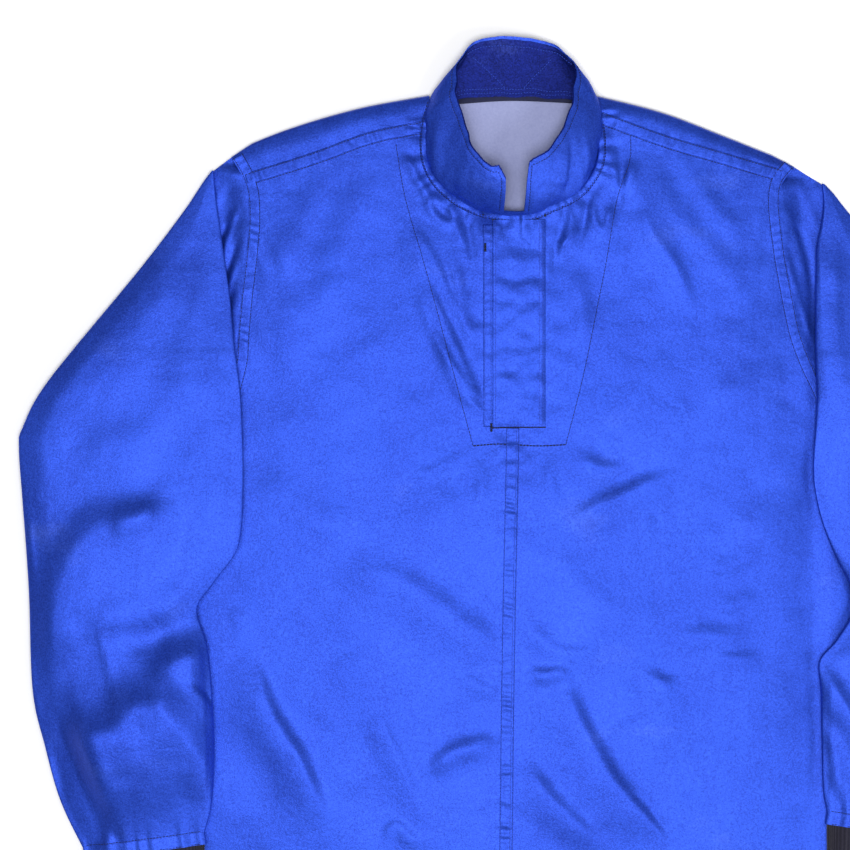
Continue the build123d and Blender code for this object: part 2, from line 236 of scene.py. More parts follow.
@dataclass
class Puckers:
    """Short ripples across a seam, as stitching draws them up."""

    path: Path
    pitch: float
    height: float
    reach: float = 6.0
    offset: float = 0.0

    def at(self, xy: Plan) -> np.ndarray:
        """Height that the ripples add at points on the plan.

        Args:
            xy: Points on the plan.

        Returns:
            One height for each point.
        """
        s, d = self.path.locate(xy, 3 * self.reach + abs(self.offset))
        turn = 2 * math.pi * s / self.pitch
        wave = np.sin(turn + 1.7 * np.sin(turn / 3.7) + 0.9 * np.sin(turn / 1.9 + 2.0))
        return self.height * wave * np.exp(-((d - self.offset) / self.reach) ** 2)


@dataclass
class Crumple:
    """Seeded soft noise for the slight unevenness of cloth, longer along one direction if asked."""

    seed: int
    size: float
    height: float
    stretch: float = 1.0
    angle: float = 0.0

    def at(self, xy: Plan) -> np.ndarray:
        """Height that the noise adds at points on the plan.

        Args:
            xy: Points on the plan.

        Returns:
            One height for each point.
        """
        table = np.random.RandomState(self.seed).rand(97, 89) * 2 - 1
        c, s = math.cos(math.radians(self.angle)), math.sin(math.radians(self.angle))
        u = (xy[:, 0] * c + xy[:, 1] * s) / (self.size * self.stretch) + 500.3
        v = (-xy[:, 0] * s + xy[:, 1] * c) / self.size + 500.7
        iu, iv = np.floor(u).astype(int), np.floor(v).astype(int)
        fu, fv = u - iu, v - iv
        fu, fv = fu * fu * (3 - 2 * fu), fv * fv * (3 - 2 * fv)

        def corner(i: int, j: int) -> np.ndarray:
            """Noise at the square's corner i along and j across."""
            return table[(iu + i) % 97, (iv + j) % 89]

        low = corner(0, 0) * (1 - fu) + corner(1, 0) * fu
        high = corner(0, 1) * (1 - fu) + corner(1, 1) * fu
        return self.height * (low * (1 - fv) + high * fv)


@dataclass
class Rumple:
    """Crumples that fade out away from a line, as gathered cloth does below its seam."""

    path: Path
    crumples: Tuple[Crumple, ...]
    reach: float = 26.0
    offset: float = 0.0

    def at(self, xy: Plan) -> np.ndarray:
        """Height that the crumples add at points on the plan.

        Args:
            xy: Points on the plan.

        Returns:
            One height for each point.
        """
        _, d = self.path.locate(xy, 3 * self.reach + abs(self.offset))
        fade = np.exp(-((d - self.offset) / self.reach) ** 2)
        return fade * sum(crumple.at(xy) for crumple in self.crumples)


def inside(xy: Plan, outline: Plan) -> np.ndarray:
    """Tells which points lie inside a closed outline.

    Args:
        xy: Points on the plan.
        outline: Corners of the outline in order.

    Returns:
        One truth value for each point.
    """
    held = np.zeros(len(xy), bool)
    x, y = xy[:, 0], xy[:, 1]
    ends = np.roll(outline, -1, axis=0)
    for (x0, y0), (x1, y1) in zip(outline, ends):
        if y0 == y1:
            continue
        crosses = (y0 > y) != (y1 > y)
        held ^= crosses & (x < (x1 - x0) * (y - y0) / (y1 - y0) + x0)
    return held


# ---------------------------------------------------------------- making objects


class Bench:
    """Turns filled bmeshes into pieces in the frame."""

    @staticmethod
    def grid(columns: int, rows: int) -> bmesh.types.BMesh:
        """Unit grid from 0 to 1 both ways, whose vertex places are then mapped to a cloth.

        Args:
            columns: Squares across.
            rows: Squares along.

        Returns:
            The flat grid.
        """
        bm = bmesh.new()
        bmesh.ops.create_grid(bm, x_segments=columns, y_segments=rows, size=0.5)
        bmesh.ops.translate(bm, verts=bm.verts, vec=(0.5, 0.5, 0.0))
        return bm

    @staticmethod
    def places(bm: bmesh.types.BMesh) -> np.ndarray:
        """Places of a bmesh's vertices, one row each."""
        return np.array([v.co for v in bm.verts], float).reshape(-1, 3)

    @staticmethod
    def fill(bm: bmesh.types.BMesh, places: np.ndarray) -> None:
        """Moves a bmesh's vertices to places given in millimetres."""
        for vert, place in zip(bm.verts, places * MM):
            vert.co = place

    @staticmethod
    def finish(name: str, bm: bmesh.types.BMesh, materials: Sequence[bpy.types.Material],
               upwards: bool = False) -> bpy.types.Object:
        """Makes a smooth object from a bmesh.

        Args:
            name: Name of the piece.
            bm: The filled bmesh, which is freed.
            materials: Materials of its slots.
            upwards: Whether an open sheet's faces are turned to look up.

        Returns:
            The new object at the origin.
        """
        if upwards:
            bm.normal_update()
            down = [f for f in bm.faces if f.normal.z < 0]
            if len(down) > len(bm.faces) / 2:
                bmesh.ops.reverse_faces(bm, faces=bm.faces)
        for face in bm.faces:
            face.smooth = True
        for edge in bm.edges:
            edge.smooth = not edge.is_boundary
        mesh = bpy.data.meshes.new(name)
        bm.to_mesh(mesh)
        bm.free()
        for material in materials:
            mesh.materials.append(material)
        piece = bpy.data.objects.new(name, mesh)
        bpy.context.scene.collection.objects.link(piece)
        return piece

    @staticmethod
    def thicken(piece: bpy.types.Object, thick: float = CLOTH, inner: int = 0) -> bpy.types.Object:
        """Gives a sheet its thickness, behind its faces.

        Args:
            piece: The sheet.
            thick: Thickness in millimetres.
            inner: How many slots further the inner face's material is.

        Returns:
            The same piece.
        """
        solid = piece.modifiers.new("cloth", "SOLIDIFY")
        solid.thickness = thick * MM
        solid.offset = -1.0
        solid.material_offset = inner
        solid.use_even_offset = False
        return piece

    @staticmethod
    def close_tube(bm: bmesh.types.BMesh, above: float) -> None:
        """Joins a rolled grid into a tube and turns its faces outwards.

        Args:
            bm: The filled bmesh.
            above: Height over which its faces look up, in metres.
        """
        bmesh.ops.remove_doubles(bm, verts=bm.verts, dist=WELD * MM)
        bmesh.ops.recalc_face_normals(bm, faces=bm.faces)
        bm.normal_update()
        upper = [f for f in bm.faces if f.calc_center_median().z > above]
        if sum(f.normal.z for f in upper) < 0:
            bmesh.ops.reverse_faces(bm, faces=bm.faces)

    @staticmethod
    def cut_sheet(name: str, outline: Plan, spacing: float, height: Heights,
                  materials: Sequence[bpy.types.Material]) -> bpy.types.Object:
        """Cuts a sheet to an outline and lays it on a height.

        Args:
            name: Name of the piece.
            outline: Closed outline on the plan, in millimetres.
            spacing: Size of the mesh's squares.
            height: Height of the cloth over the plan.
            materials: Materials of its slots.

        Returns:
            The open sheet, facing up.
        """
        low, high = outline.min(0) - spacing, outline.max(0) + spacing
        columns, rows = (int(math.ceil((high[i] - low[i]) / spacing)) for i in (0, 1))
        bm = Bench.grid(columns, rows)
        xy = low + Bench.places(bm)[:, :2] * (high - low)
        Bench.fill(bm, np.column_stack([xy, np.zeros(len(xy))]))
        centres = np.array([f.calc_center_median()[:2] for f in bm.faces]) / MM
        kept = inside(centres, outline)
        bmesh.ops.delete(bm, geom=[f for f, k in zip(list(bm.faces), kept) if not k], context="FACES")
        edge = {v for e in bm.edges if e.is_boundary for v in e.verts}
        bm.verts.index_update()
        xy = Bench.places(bm)[:, :2] / MM
        rim = np.array(sorted(v.index for v in edge))
        loop = Path(outline, closed=True, smooth=False)
        s, _ = loop.locate(xy[rim], 3 * spacing)
        xy[rim] = loop.at(s)
        Bench.fill(bm, np.column_stack([xy, height(xy)]))
        bmesh.ops.dissolve_degenerate(bm, dist=0.02 * MM, edges=bm.edges)
        return Bench.finish(name, bm, materials, upwards=True)

    @staticmethod
    def ribbon(name: str, path: Path, near: float, far: float, height: Heights, lift: float,
               materials: Sequence[bpy.types.Material], step: float = 1.3, across: int = 10,
               crown: float = 0.35, ladder: float = 0.0, pitch: float = 7.5) -> bpy.types.Object:
        """Lays a closed raised strip along a line.

        Args:
            name: Name of the piece.
            path: Line that the strip follows.
            near: Offset of one long edge to the left of the line.
            far: Offset of the other long edge.
            height: Height of the cloth below.
            lift: Thickness of the strip over that cloth.
            materials: Materials of its slots.
            step: Mesh size along the strip.
            across: Mesh squares across its top.
            crown: How far the long edges round over.
            ladder: Height of the ripples that the two rows of stitching draw up between them.
            pitch: Distance from ripple to ripple.

        Returns:
            The strip, a thin closed solid.
        """
        bm = Bench.grid(2 * across, max(int(path.length / step), 2))
        uv = Bench.places(bm)
        turn = 2 * math.pi * uv[:, 0]
        side = np.cos(turn)
        t = 0.5 - 0.5 * np.sign(side) * np.abs(side) ** 0.8
        s = uv[:, 1] * path.length
        xy = path.at(s) + path.normal(s) * (near + (far - near) * t)[:, None]
        up = np.sin(turn)
        rise = np.where(up >= 0, lift * np.abs(up) ** crown, -0.25 * np.abs(up) ** crown)
        beat = 2 * math.pi * s / pitch + 2.1 * np.sin(s / 11.0) + 2.5 * (t - 0.5) * np.sin(s / 13.0)
        drawn = 0.6 + 0.4 * np.sin(s / 9.0 + 1.0) * np.sin(s / 31.0)
        rise = rise + ladder * drawn * np.maximum(np.sin(beat), -0.3) * np.clip(up, 0, 1) ** 1.5
        Bench.fill(bm, np.column_stack([xy, height(xy) + rise]))
        bmesh.ops.remove_doubles(bm, verts=bm.verts, dist=0.004 * MM)
        bmesh.ops.holes_fill(bm, edges=[e for e in bm.edges if e.is_boundary], sides=0)
        bmesh.ops.recalc_face_normals(bm, faces=bm.faces)
        return Bench.finish(name, bm, materials)

    @staticmethod
    def laid(path: Path, height: Heights, over: float) -> np.ndarray:
        """Places of a line on the plan when it lies over a height."""
        xy = path.at(np.linspace(0, path.length, max(int(path.length / 1.2), 3)))
        return np.column_stack([xy, height(xy) + over])

    @staticmethod
    def stitches(name: str, runs: Sequence[np.ndarray], material: bpy.types.Material, pitch: float = 2.6,
                 length: float = 2.7, radius: float = 0.32) -> bpy.types.Object:
        """Sews rows of stitches, each a small plump thread that dips into the cloth at both ends.

        Args:
            name: Name of the piece.
            runs: Places of each row's thread, in millimetres.
            material: Thread material.
            pitch: Distance from stitch to stitch.
            length: Length of one stitch.
            radius: Half the thread's thickness.

        Returns:
            One object with all the stitches.
        """
        bm = bmesh.new()
        for run in runs:
            steps = np.concatenate([[0.0], np.cumsum(np.linalg.norm(np.diff(run, axis=0), axis=1))])
            count = max(int(steps[-1] / pitch), 1)
            middle = (np.arange(count) + 0.5) * steps[-1] / count
            ends = [np.stack([np.interp(middle + d, steps, run[:, i]) for i in range(3)],
                             -1) for d in (-1.0, 1.0)]
            for a, b in zip(*ends):
                turn = Vector(b - a).to_track_quat("X", "Z").to_matrix().to_4x4()
                size = Matrix.Diagonal((length / 2, radius, radius, 1.0))
                place = Matrix.Scale(MM, 4) @ Matrix.Translation((a + b) / 2) @ turn @ size
                bmesh.ops.create_uvsphere(bm, u_segments=6, v_segments=4, radius=1.0, matrix=place)
        return Bench.finish(name, bm, [material])


# ---------------------------------------------------------------- finishes


class Value:
    """A node socket whose arithmetic adds Math nodes."""

    def __init__(self, tree: "Shader", socket: bpy.types.NodeSocket) -> None:
        """Wraps a socket of a tree."""
        self.tree, self.socket = tree, socket

    def _math(self, kind: str, a: object, b: object) -> "Value":
        """Adds one Math node of a kind on two values."""
        return self.tree.node("ShaderNodeMath", {"operation": kind}, {0: a, 1: b})

    def __add__(self, other: object) -> "Value":
        """Sum."""
        return self._math("ADD", self, other)

    __radd__ = __add__

    def __sub__(self, other: object) -> "Value":
        """Difference."""
        return self._math("SUBTRACT", self, other)

    def __rsub__(self, other: object) -> "Value":
        """Reflected difference."""
        return self._math("SUBTRACT", other, self)

    def __abs__(self) -> "Value":
        """Size without sign."""
        return self._math("ABSOLUTE", self, 0.0)

    def __mul__(self, other: object) -> "Value":
        """Product."""
        return self._math("MULTIPLY", self, other)

    __rmul__ = __mul__


class Shader:
    """One material's node tree."""

    def __init__(self, name: str) -> None:
        """Makes an empty material with its Principled shader.

        Args:
            name: Name of the material.
        """
        self.material = bpy.data.materials.new(name)
        self.material.use_nodes = True
        self.nodes, self.links = self.material.node_tree.nodes, self.material.node_tree.links
        self.surface = self.nodes["Principled BSDF"]

    def node(self, kind: str, settings: Optional[Dict[str, object]] = None,
             inputs: Optional[Dict[object, object]] = None, output: object = 0) -> Value:
        """Adds a node.

        Args:
            kind: Type of the node.
            settings: Attributes set first; a ramp's stops are given as "stops".
            inputs: Values or links by socket.
            output: Which output is returned.

        Returns:
            The wrapped output.
        """
        made = self.nodes.new(kind)
        for key, value in (settings or {}).items():
            if key == "stops":
                ramp = made.color_ramp
                while len(ramp.elements) < len(value):
                    ramp.elements.new(0.5)
                for element, (place, colour) in zip(ramp.elements, value):
                    element.position, element.color = place, (*colour, 1.0)
            else:
                setattr(made, key, value)
        for key, value in (inputs or {}).items():
            self.put(made.inputs[key], value)
        return Value(self, made.outputs[output])

    def put(self, socket: bpy.types.NodeSocket, value: object) -> None:
        """Links or sets one socket.

        Args:
            socket: Socket to feed.
            value: A wrapped output, a colour or a number.
        """
        if isinstance(value, Value):
            self.links.new(value.socket, socket)
        elif isinstance(value, tuple) and len(value) == 3 and socket.type == "RGBA":
            socket.default_value = (*value, 1.0)
        else:
            socket.default_value = value

    def set(self, **values: object) -> None:
        """Sets the Principled shader's sockets, whose names are written with underscores."""
        for key, value in values.items():
            self.put(self.surface.inputs[key.replace("_", " ")], value)

    def object_space(self, scale: Tuple[float, float, float] = (1.0, 1.0, 1.0), turn: float = 0.0) -> Value:
        """Object coordinates, scaled and turned about Z by degrees."""
        place = self.node("ShaderNodeTexCoord", output="Object")
        return self.node("ShaderNodeMapping", inputs={"Vector": place, "Scale": scale,
                                                      "Rotation": (0.0, 0.0, math.radians(turn))})

    def noise(self, scale: float, detail: float = 2.0, space: Optional[Value] = None) -> Value:
        """Noise between 0 and 1 over object space, at a scale in cycles per metre."""
        return self.node("ShaderNodeTexNoise", inputs={"Vector": space or self.object_space(),
                                                       "Scale": scale,
                                                       "Detail": detail}, output="Fac")

    def mix(self, share: object, a: object, b: object) -> Value:
        """Colour between a and b."""
        return self.node("ShaderNodeMix", {"data_type": "RGBA"}, {0: share, 6: a, 7: b}, output=2)

    def bump(self, height: Value, strength: float, distance: float) -> Value:
        """Normal bumped by a height."""
        return self.node("ShaderNodeBump", inputs={"Height": height, "Strength": strength,
                                                   "Distance": distance},
                         output="Normal")


@dataclass(frozen=True)
class Satin:
    """Sheeny woven cloth: tinted gloss over a dye colour, fine weave, scuffs and faint fading."""

    name: str
    deep: Tuple[float, float, float]
    bright: Tuple[float, float, float]
    metallic: float = 0.72
    roughness: float = 0.53
    specular: float = 0.5

    def make(self) -> bpy.types.Material:
        """Builds the material.

        Returns:
            The material.
        """
        shader = Shader(self.name)
        cloud = shader.noise(9.0, 4.0)
        grain = shader.noise(1100.0, 2.0)
        fleck = shader.noise(560.0, 3.0)
        streak = shader.noise(70.0, 3.0, shader.object_space((1.0, 0.22, 1.0), 24.0))
        cross = shader.noise(48.0, 3.0, shader.object_space((0.3, 1.0, 1.0), 31.0))
        tone = cloud * 0.16 + grain * 0.42 + fleck * 0.28 + streak * 0.14
        ramped = shader.node("ShaderNodeValToRGB", {"stops": [(0.40, self.deep), (0.60, self.bright)]},
                             {0: tone})
        wisp = shader.noise(26.0, 6.0, shader.object_space((0.5, 1.0, 1.0), -28.0))
        scuff = shader.node("ShaderNodeMapRange", inputs={0: wisp + fleck * 0.25, 1: 0.76, 2: 0.95})
        shade = shader.mix(scuff * 0.07, ramped, (0.22, 0.33, 0.75))
        crease = shader.node("ShaderNodeMapRange", {"interpolation_type": "SMOOTHSTEP"},
                             {0: abs(wisp - 0.5), 1: 0.0, 2: 0.05})
        weave = grain * 0.22 + fleck * 0.18 + crease * 0.10 + streak * 0.60 + cross * 0.70
        shader.set(Base_Color=shade, Metallic=self.metallic,
                   Roughness=streak * 0.10 + (self.roughness - 0.05),
                   Normal=shader.bump(weave, 0.55, 0.0010), Specular_IOR_Level=self.specular)
        return shader.material


@dataclass(frozen=True)
class PlainCloth:
    """Matt woven or knitted cloth with a soft mottled colour."""

    name: str
    deep: Tuple[float, float, float]
    bright: Tuple[float, float, float]
    roughness: float = 0.8
    weave: float = 600.0

    def make(self) -> bpy.types.Material:
        """Builds the material.

        Returns:
            The material.
        """
        shader = Shader(self.name)
        grain = shader.noise(self.weave, 3.0)
        cloud = shader.noise(25.0, 3.0)
        tone = grain * 0.6 + cloud * 0.4
        ramped = shader.node("ShaderNodeValToRGB", {"stops": [(0.3, self.deep), (0.7, self.bright)]},
                             {0: tone})
        shader.set(Base_Color=ramped, Roughness=self.roughness, Normal=shader.bump(grain, 0.4, 0.0003),
                   Sheen_Weight=0.2, Specular_IOR_Level=0.25)
        return shader.material


@dataclass(frozen=True)
class Thread:
    """Twisted sewing thread."""

    name: str
    colour: Tuple[float, float, float]
    light: Tuple[float, float, float]

    def make(self) -> bpy.types.Material:
        """Builds the material.

        Returns:
            The material.
        """
        shader = Shader(self.name)
        twist = shader.noise(2500.0, 1.0)
        shader.set(Base_Color=shader.mix(twist, self.colour, self.light), Roughness=0.55,
                   Normal=shader.bump(twist, 0.3, 0.0002), Specular_IOR_Level=0.3)
        return shader.material


@dataclass(frozen=True)
class Moulded:
    """Moulded glossy plastic of the hidden buttons."""

    name: str
    colour: Tuple[float, float, float]
    light: Tuple[float, float, float]

    def make(self) -> bpy.types.Material:
        """Builds the material.

        Returns:
            The material.
        """
        shader = Shader(self.name)
        cloud = shader.noise(180.0, 3.0)
        shader.set(Base_Color=shader.mix(cloud, self.colour, self.light), Roughness=cloud * 0.15 + 0.34,
                   Normal=shader.bump(cloud, 0.1, 0.0001), Specular_IOR_Level=0.3)
        return shader.material


@dataclass
class Finishes:
    """Every finish of the smock."""

    satin: bpy.types.Material = field(default_factory=Satin(
        "satin_cloth", (0.007, 0.034, 0.33), (0.022, 0.078, 0.58)).make)
    # Darker copy of the satin for the collar's inner faces: its darkness is painted shade inside the collar stand.
    collar_lining: bpy.types.Material = field(default_factory=Satin(
        "collar_lining_cloth", (0.003, 0.007, 0.08), (0.008, 0.018, 0.20), 0.6, 0.55, 0.12).make)
    reverse: bpy.types.Material = field(default_factory=PlainCloth(
        "cloth_reverse", (0.26, 0.285, 0.51), (0.33, 0.36, 0.60)).make)
    facing: bpy.types.Material = field(default_factory=PlainCloth(
        "facing_cloth", (0.012, 0.035, 0.28), (0.02, 0.05, 0.36)).make)
    rib: bpy.types.Material = field(default_factory=PlainCloth(
        "rib_knit", (0.008, 0.0075, 0.017), (0.017, 0.015, 0.032), 0.9, 900.0).make)
    tape: bpy.types.Material = field(default_factory=PlainCloth(
        "neck_tape_cloth", (0.004, 0.006, 0.03), (0.010, 0.013, 0.06), 0.7).make)
    blue_thread: bpy.types.Material = field(default_factory=Thread(
        "blue_thread", (0.014, 0.040, 0.32), (0.030, 0.085, 0.60)).make)
    # Near-black thread: real dark thread at the placket's bar tacks and button shanks; on the other seams its darkness
    # is painted shade of the stitch grooves.
    dark_thread: bpy.types.Material = field(default_factory=Thread(
        "dark_thread", (0.002, 0.003, 0.014), (0.006, 0.009, 0.04)).make)
    button: bpy.types.Material = field(default_factory=Moulded(
        "button_plastic", (0.012, 0.02, 0.09), (0.02, 0.035, 0.14)).make)


# ---------------------------------------------------------------- the lie of the smock


@dataclass
class Lay:
    """How the smock lies: its main lines on the plan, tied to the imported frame."""

    half: float = field(default_factory=lambda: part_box("left_front_panel")[1].x / MM)
    crown: float = field(default_factory=lambda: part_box("left_front_panel")[1].z / MM)
    hem: float = field(default_factory=lambda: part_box("back_panel")[0].y / MM)
    pit: float = -262.0
    neck: List[Tuple[float, float]] = field(default_factory=lambda: [
        (7, -98), (33, -90), (56, -77), (70, -55), (71, -30), (66, -6), (40, 1), (0, 2), (-38, 1),
        (-64, -6),
        (-70, -30), (-68, -56), (-55, -76), (-30, -92)])
    arm: Dict[Side, List[Tuple[float, float]]] = field(default_factory=lambda: {
        Side.RIGHT: [(-225, -49), (-213, -73), (-211, -103), (-214, -136), (-218, -172), (-221, -212)],
        Side.LEFT: [(227, -57), (216, -72), (215, -92), (219, -126), (225, -159), (232, -192),
                    (242, -218)]})
    shoulder: Dict[Side, List[Tuple[float, float]]] = field(default_factory=lambda: {
        Side.RIGHT: [(-66, -2), (-120, -12), (-170, -26), (-205, -39), (-225, -49)],
        Side.LEFT: [(66, -2), (120, -16), (168, -34), (201, -47), (227, -57)]})
    seam: Dict[Side, List[Tuple[float, float]]] = field(default_factory=lambda: {
        Side.RIGHT: [(-69, -25), (-113, -34), (-158, -50), (-213, -67)],
        Side.LEFT: [(71, -18), (120, -36), (168, -50), (216, -64)]})

    def dome(self, xy: Plan) -> np.ndarray:
        """Height of the front's base surface."""
        share = 1 - np.clip(np.abs(xy[:, 0]) / self.half, 0, 1) ** 2
        return self.crown * np.sqrt(share)

    def armhole(self, side: Side) -> Path:
        """Armhole seam from the shoulder down."""
        return Path(self.arm[side])


class FrontRelief:
    """Folds, gathers and unevenness of the front, which everything sewn to it follows."""

    def __init__(self, lay: Lay) -> None:
        """Collects the front's reliefs."""
        self.lay = lay
        self.parts = self.creases() + self.gathers()

    @staticmethod
    def creases() -> List[object]:
        """Creases that the smock was laid down with, and the unevenness between them.

        Returns:
            The reliefs, each with an at method.
        """
        return [
            Fold([(-214, -440), (-204, -464), (-196, -488), (-184, -510), (-170, -532), (-156, -566),
                  (-146, -590)], 4.2, 6, 26),
            Fold([(-230, -420), (-220, -418), (-206, -424)], 1.1, 6, 10, 0.4),
            Fold([(-112, -482), (-103, -506), (-90, -534), (-72, -578)], 1.5, 5, 14, 0.3),
            Fold([(-66, -548), (-50, -528), (-28, -520), (-8, -514)], 2.8, 7, 12, 0.3),
            Fold([(-104, -602), (-94, -584), (-78, -596), (-62, -590)], 1.6, 4, 8, 0.35),
            Fold([(-146, -386), (-104, -387), (-74, -399), (-44, -421), (-18, -441), (-8, -460)], 3.0, 13,
                 26, 0.25),
            Fold([(-44, -462), (-28, -472), (-8, -482)], 1.2, 5, 8, 0.3),
            Fold([(42, -348), (64, -332), (88, -321), (112, -310), (138, -303)], 2.6, 7, 18, 0.3),
            Fold([(104, -350), (108, -342), (112, -334)], 0.9, 3, 5, 0.4),
            Fold([(8, -416), (24, -436), (44, -446), (80, -444)], 1.2, 5, 10, 0.3),
            Fold([(10, -459), (24, -464), (40, -463), (50, -470)], 2.2, 5, 8, 0.35),
            Fold([(38, -462), (47, -484), (57, -506), (69, -528), (82, -550), (98, -566), (110, -581),
                  (128, -602)], 3.9, 6.0, 26, 0.24),
            Fold([(88, -552), (104, -566), (116, -580), (128, -594)], -1.6, 3.0, 3.4, 0.3),
            Fold([(6, -530), (18, -546), (30, -562), (46, -578), (64, -596), (76, -610)], 2.8, 6, 16, 0.3),
            Fold([(100, -462), (116, -468), (134, -474)], 1.5, 5, 8, 0.4),
            Fold([(124, -438), (150, -433), (176, -434), (196, -431)], 2.2, 8, 14, 0.4),
            Fold([(150, -448), (176, -451), (202, -450)], 1.8, 5, 12, 0.4),
            Fold([(60, -520), (100, -490), (150, -480)], 1.3, 14, 9, 0.4),
            Fold([(150, -380), (180, -376), (206, -360)], 1.3, 9, 5, 0.35),
            Fold([(160, -408), (176, -410), (200, -398)], 1.1, 8, 4, 0.35),
            Fold([(238, -270), (241, -400), (240, -640)], -3.2, 12, 16, 0.1),
            Fold([(-92, -88), (-78, -130), (-56, -190), (-30, -262)], 1.2, 6, 10, 0.2),
            Fold([(-78, -150), (-60, -196), (-34, -236), (-20, -262)], 1.0, 3, 5, 0.25),
            Fold([(-70, -144), (-52, -184), (-37, -218), (-21, -257)], 1.5, 2.4, 6, 0.2),
            Fold([(-60, -184), (-44, -226), (-19, -260)], 1.4, 2.2, 7, 0.25),
            Fold([(-90, -46), (-82, -54), (-74, -69), (-67, -80), (-64, -92), (-54, -101), (-42, -103)],
                 2.0, 2.6, 5, 0.15),
            Fold([(-66, -78), (-52, -90), (-44, -92)], 1.5, 2.5, 4, 0.3),
            Fold([(-82, -98), (-62, -134), (-47, -168), (-34, -192)], 1.6, 3.4, 9, 0.25),
            Fold([(80, -48), (83, -64), (87, -75), (93, -64), (96, -50)], 1.8, 2.5, 5, 0.2),
            Fold([(62, -82), (67, -101), (74, -106), (79, -86)], 1.8, 2.5, 5, 0.2),
            Fold([(54, -104), (44, -116), (32, -122)], 1.6, 5, 2.5, 0.3),
            Fold([(100, -84), (112, -112), (132, -140), (146, -176)], 1.7, 5, 12, 0.25),
            Fold([(-52, -212), (-38, -236), (-19, -252)], -1.0, 2.2, 2.6, 0.25),
            Fold([(-50, -120), (-40, -170), (-30, -215)], 1.4, 6, 4, 0.3),
            Fold([(-52, -76), (-46, -98), (-38, -124)], 1.6, 3, 3.4, 0.25),
            Fold([(-40, -90), (-34, -112), (-30, -140)], -1.2, 3, 3, 0.3),
            Fold([(62, -66), (60, -92), (50, -124)], -2.0, 4, 3.4, 0.25),
            Fold([(50, -80), (46, -104), (36, -136)], 1.6, 3.4, 3, 0.25),
            Fold([(84, -30), (88, -62), (82, -104)], -1.5, 4, 5, 0.3),
            Fold([(40, -90), (36, -120), (32, -160)], -1.0, 4, 3, 0.3),
            Fold([(48, -130), (56, -170), (58, -210)], 1.3, 8, 7, 0.35),
            Fold([(96, -40), (124, -86), (170, -140), (205, -190)], 1.7, 12, 17, 0.3),
            Fold([(80, -40), (108, -92), (146, -160)], 1.3, 9, 12, 0.3),
            Fold([(130, -44), (158, -86), (196, -126)], 1.3, 9, 12, 0.3),
            Fold([(-110, -46), (-128, -100), (-150, -160), (-170, -200)], 1.5, 12, 15, 0.3),
            Fold([(-150, -60), (-160, -90), (-190, -150)], 1.3, 9, 12, 0.3),
            Fold([(-196, -90), (-180, -140), (-176, -200), (-190, -250)], 1.4, 14, 16, 0.3),
            Fold([(-42, -286), (-60, -300), (-86, -306)], 1.3, 5, 5, 0.4),
            Fold([(50, -285), (68, -297), (98, -300)], 1.3, 5, 5, 0.4),
            Fold([(-28, -286), (-24, -310), (-30, -340)], 0.9, 5, 5, 0.4),
            Fold([(34, -286), (30, -305), (36, -330)], 0.9, 5, 5, 0.4),
            Fold([(20, -350), (60, -400), (120, -430)], 1.4, 14, 20, 0.3),
            Fold([(-30, -320), (-90, -360), (-150, -380)], 1.4, 16, 22, 0.3),
            Fold([(-200, -300), (-170, -330), (-120, -350)], 1.2, 14, 18, 0.3),
            Fold([(220, -210), (190, -235), (150, -240)], 1.4, 10, 13, 0.35),
            Crumple(3, 74.0, 1.1), Crumple(5, 34.0, 0.7, 1.6, 40.0), Crumple(6, 27.0, 0.6, 1.8, -50.0),
            Crumple(8, 14.0, 0.30, 2.2, 25.0), Crumple(9, 11.0, 0.16, 2.6, -35.0), Crumple(13, 6.5, 0.07),
        ]

    def gathers(self) -> List[object]:
        """Ripples along the seams and the rumpled cloth beside them.

        Returns:
            The reliefs, each with an at method.
        """
        lay = self.lay
        parts: List[object] = []
        neck = Path(lay.neck, closed=True)
        parts.append(Puckers(neck, 11.0, 0.6, 8.0, -6.0))
        right_neck, left_neck = Path(lay.neck[10:]), Path(lay.neck[1:5])
        parts.append(Rumple(right_neck, (Crumple(15, 6.5, 1.5, 3.2, 112.0),
                                         Crumple(16, 9.0, 1.2, 2.4, 84.0)), 30.0, 20.0))
        parts.append(Rumple(left_neck, (Crumple(17, 6.5, 1.6, 3.2, 70.0),
                                        Crumple(18, 9.0, 1.3, 2.4, 98.0)), 34.0, 22.0))
        flap = Path([(2, -100), (2, -270)])
        parts.append(Rumple(flap, (Crumple(19, 10.0, 0.8, 2.6, -30.0), Crumple(20, 7.0, 0.5, 2.0, 35.0)),
                            40.0))
        for side in Side:
            parts.append(Puckers(Path(lay.seam[side]), 13.0, 0.4, 7.0))
            parts.append(Puckers(lay.armhole(side), 12.0, 0.5, 8.0, 11.0 * side.value))
            parts.append(Rumple(lay.armhole(side), (Crumple(22, 8.0, 0.8, 3.0, 65.0 * side.value),), 26.0))
        parts.append(Puckers(Path([(0, -281), (-6, -480), (-8, lay.hem)]), 14.0, 0.32, 7.0))
        return parts

    def __call__(self, xy: Plan) -> np.ndarray:
        """Height of the front cloth's top face.

        Args:
            xy: Points on the plan.

        Returns:
            One height for each point.
        """
        total = sum(part.at(xy) for part in self.parts)
        edge = np.clip((self.lay.half - np.abs(xy[:, 0])) / 26.0, 0, 1)
        hem = np.clip((xy[:, 1] - self.lay.hem) / 30.0 + 0.25, 0, 1)
        return self.lay.dome(xy) + total * edge * np.minimum(hem, 1)


def even(height: float) -> Heights:
    """The same height, in millimetres, all over the plan."""
    return lambda xy: np.full(len(xy), height)


def lifted(height: Heights, by: float) -> Heights:
    """The same height moved up."""
    return lambda xy: height(xy) + by


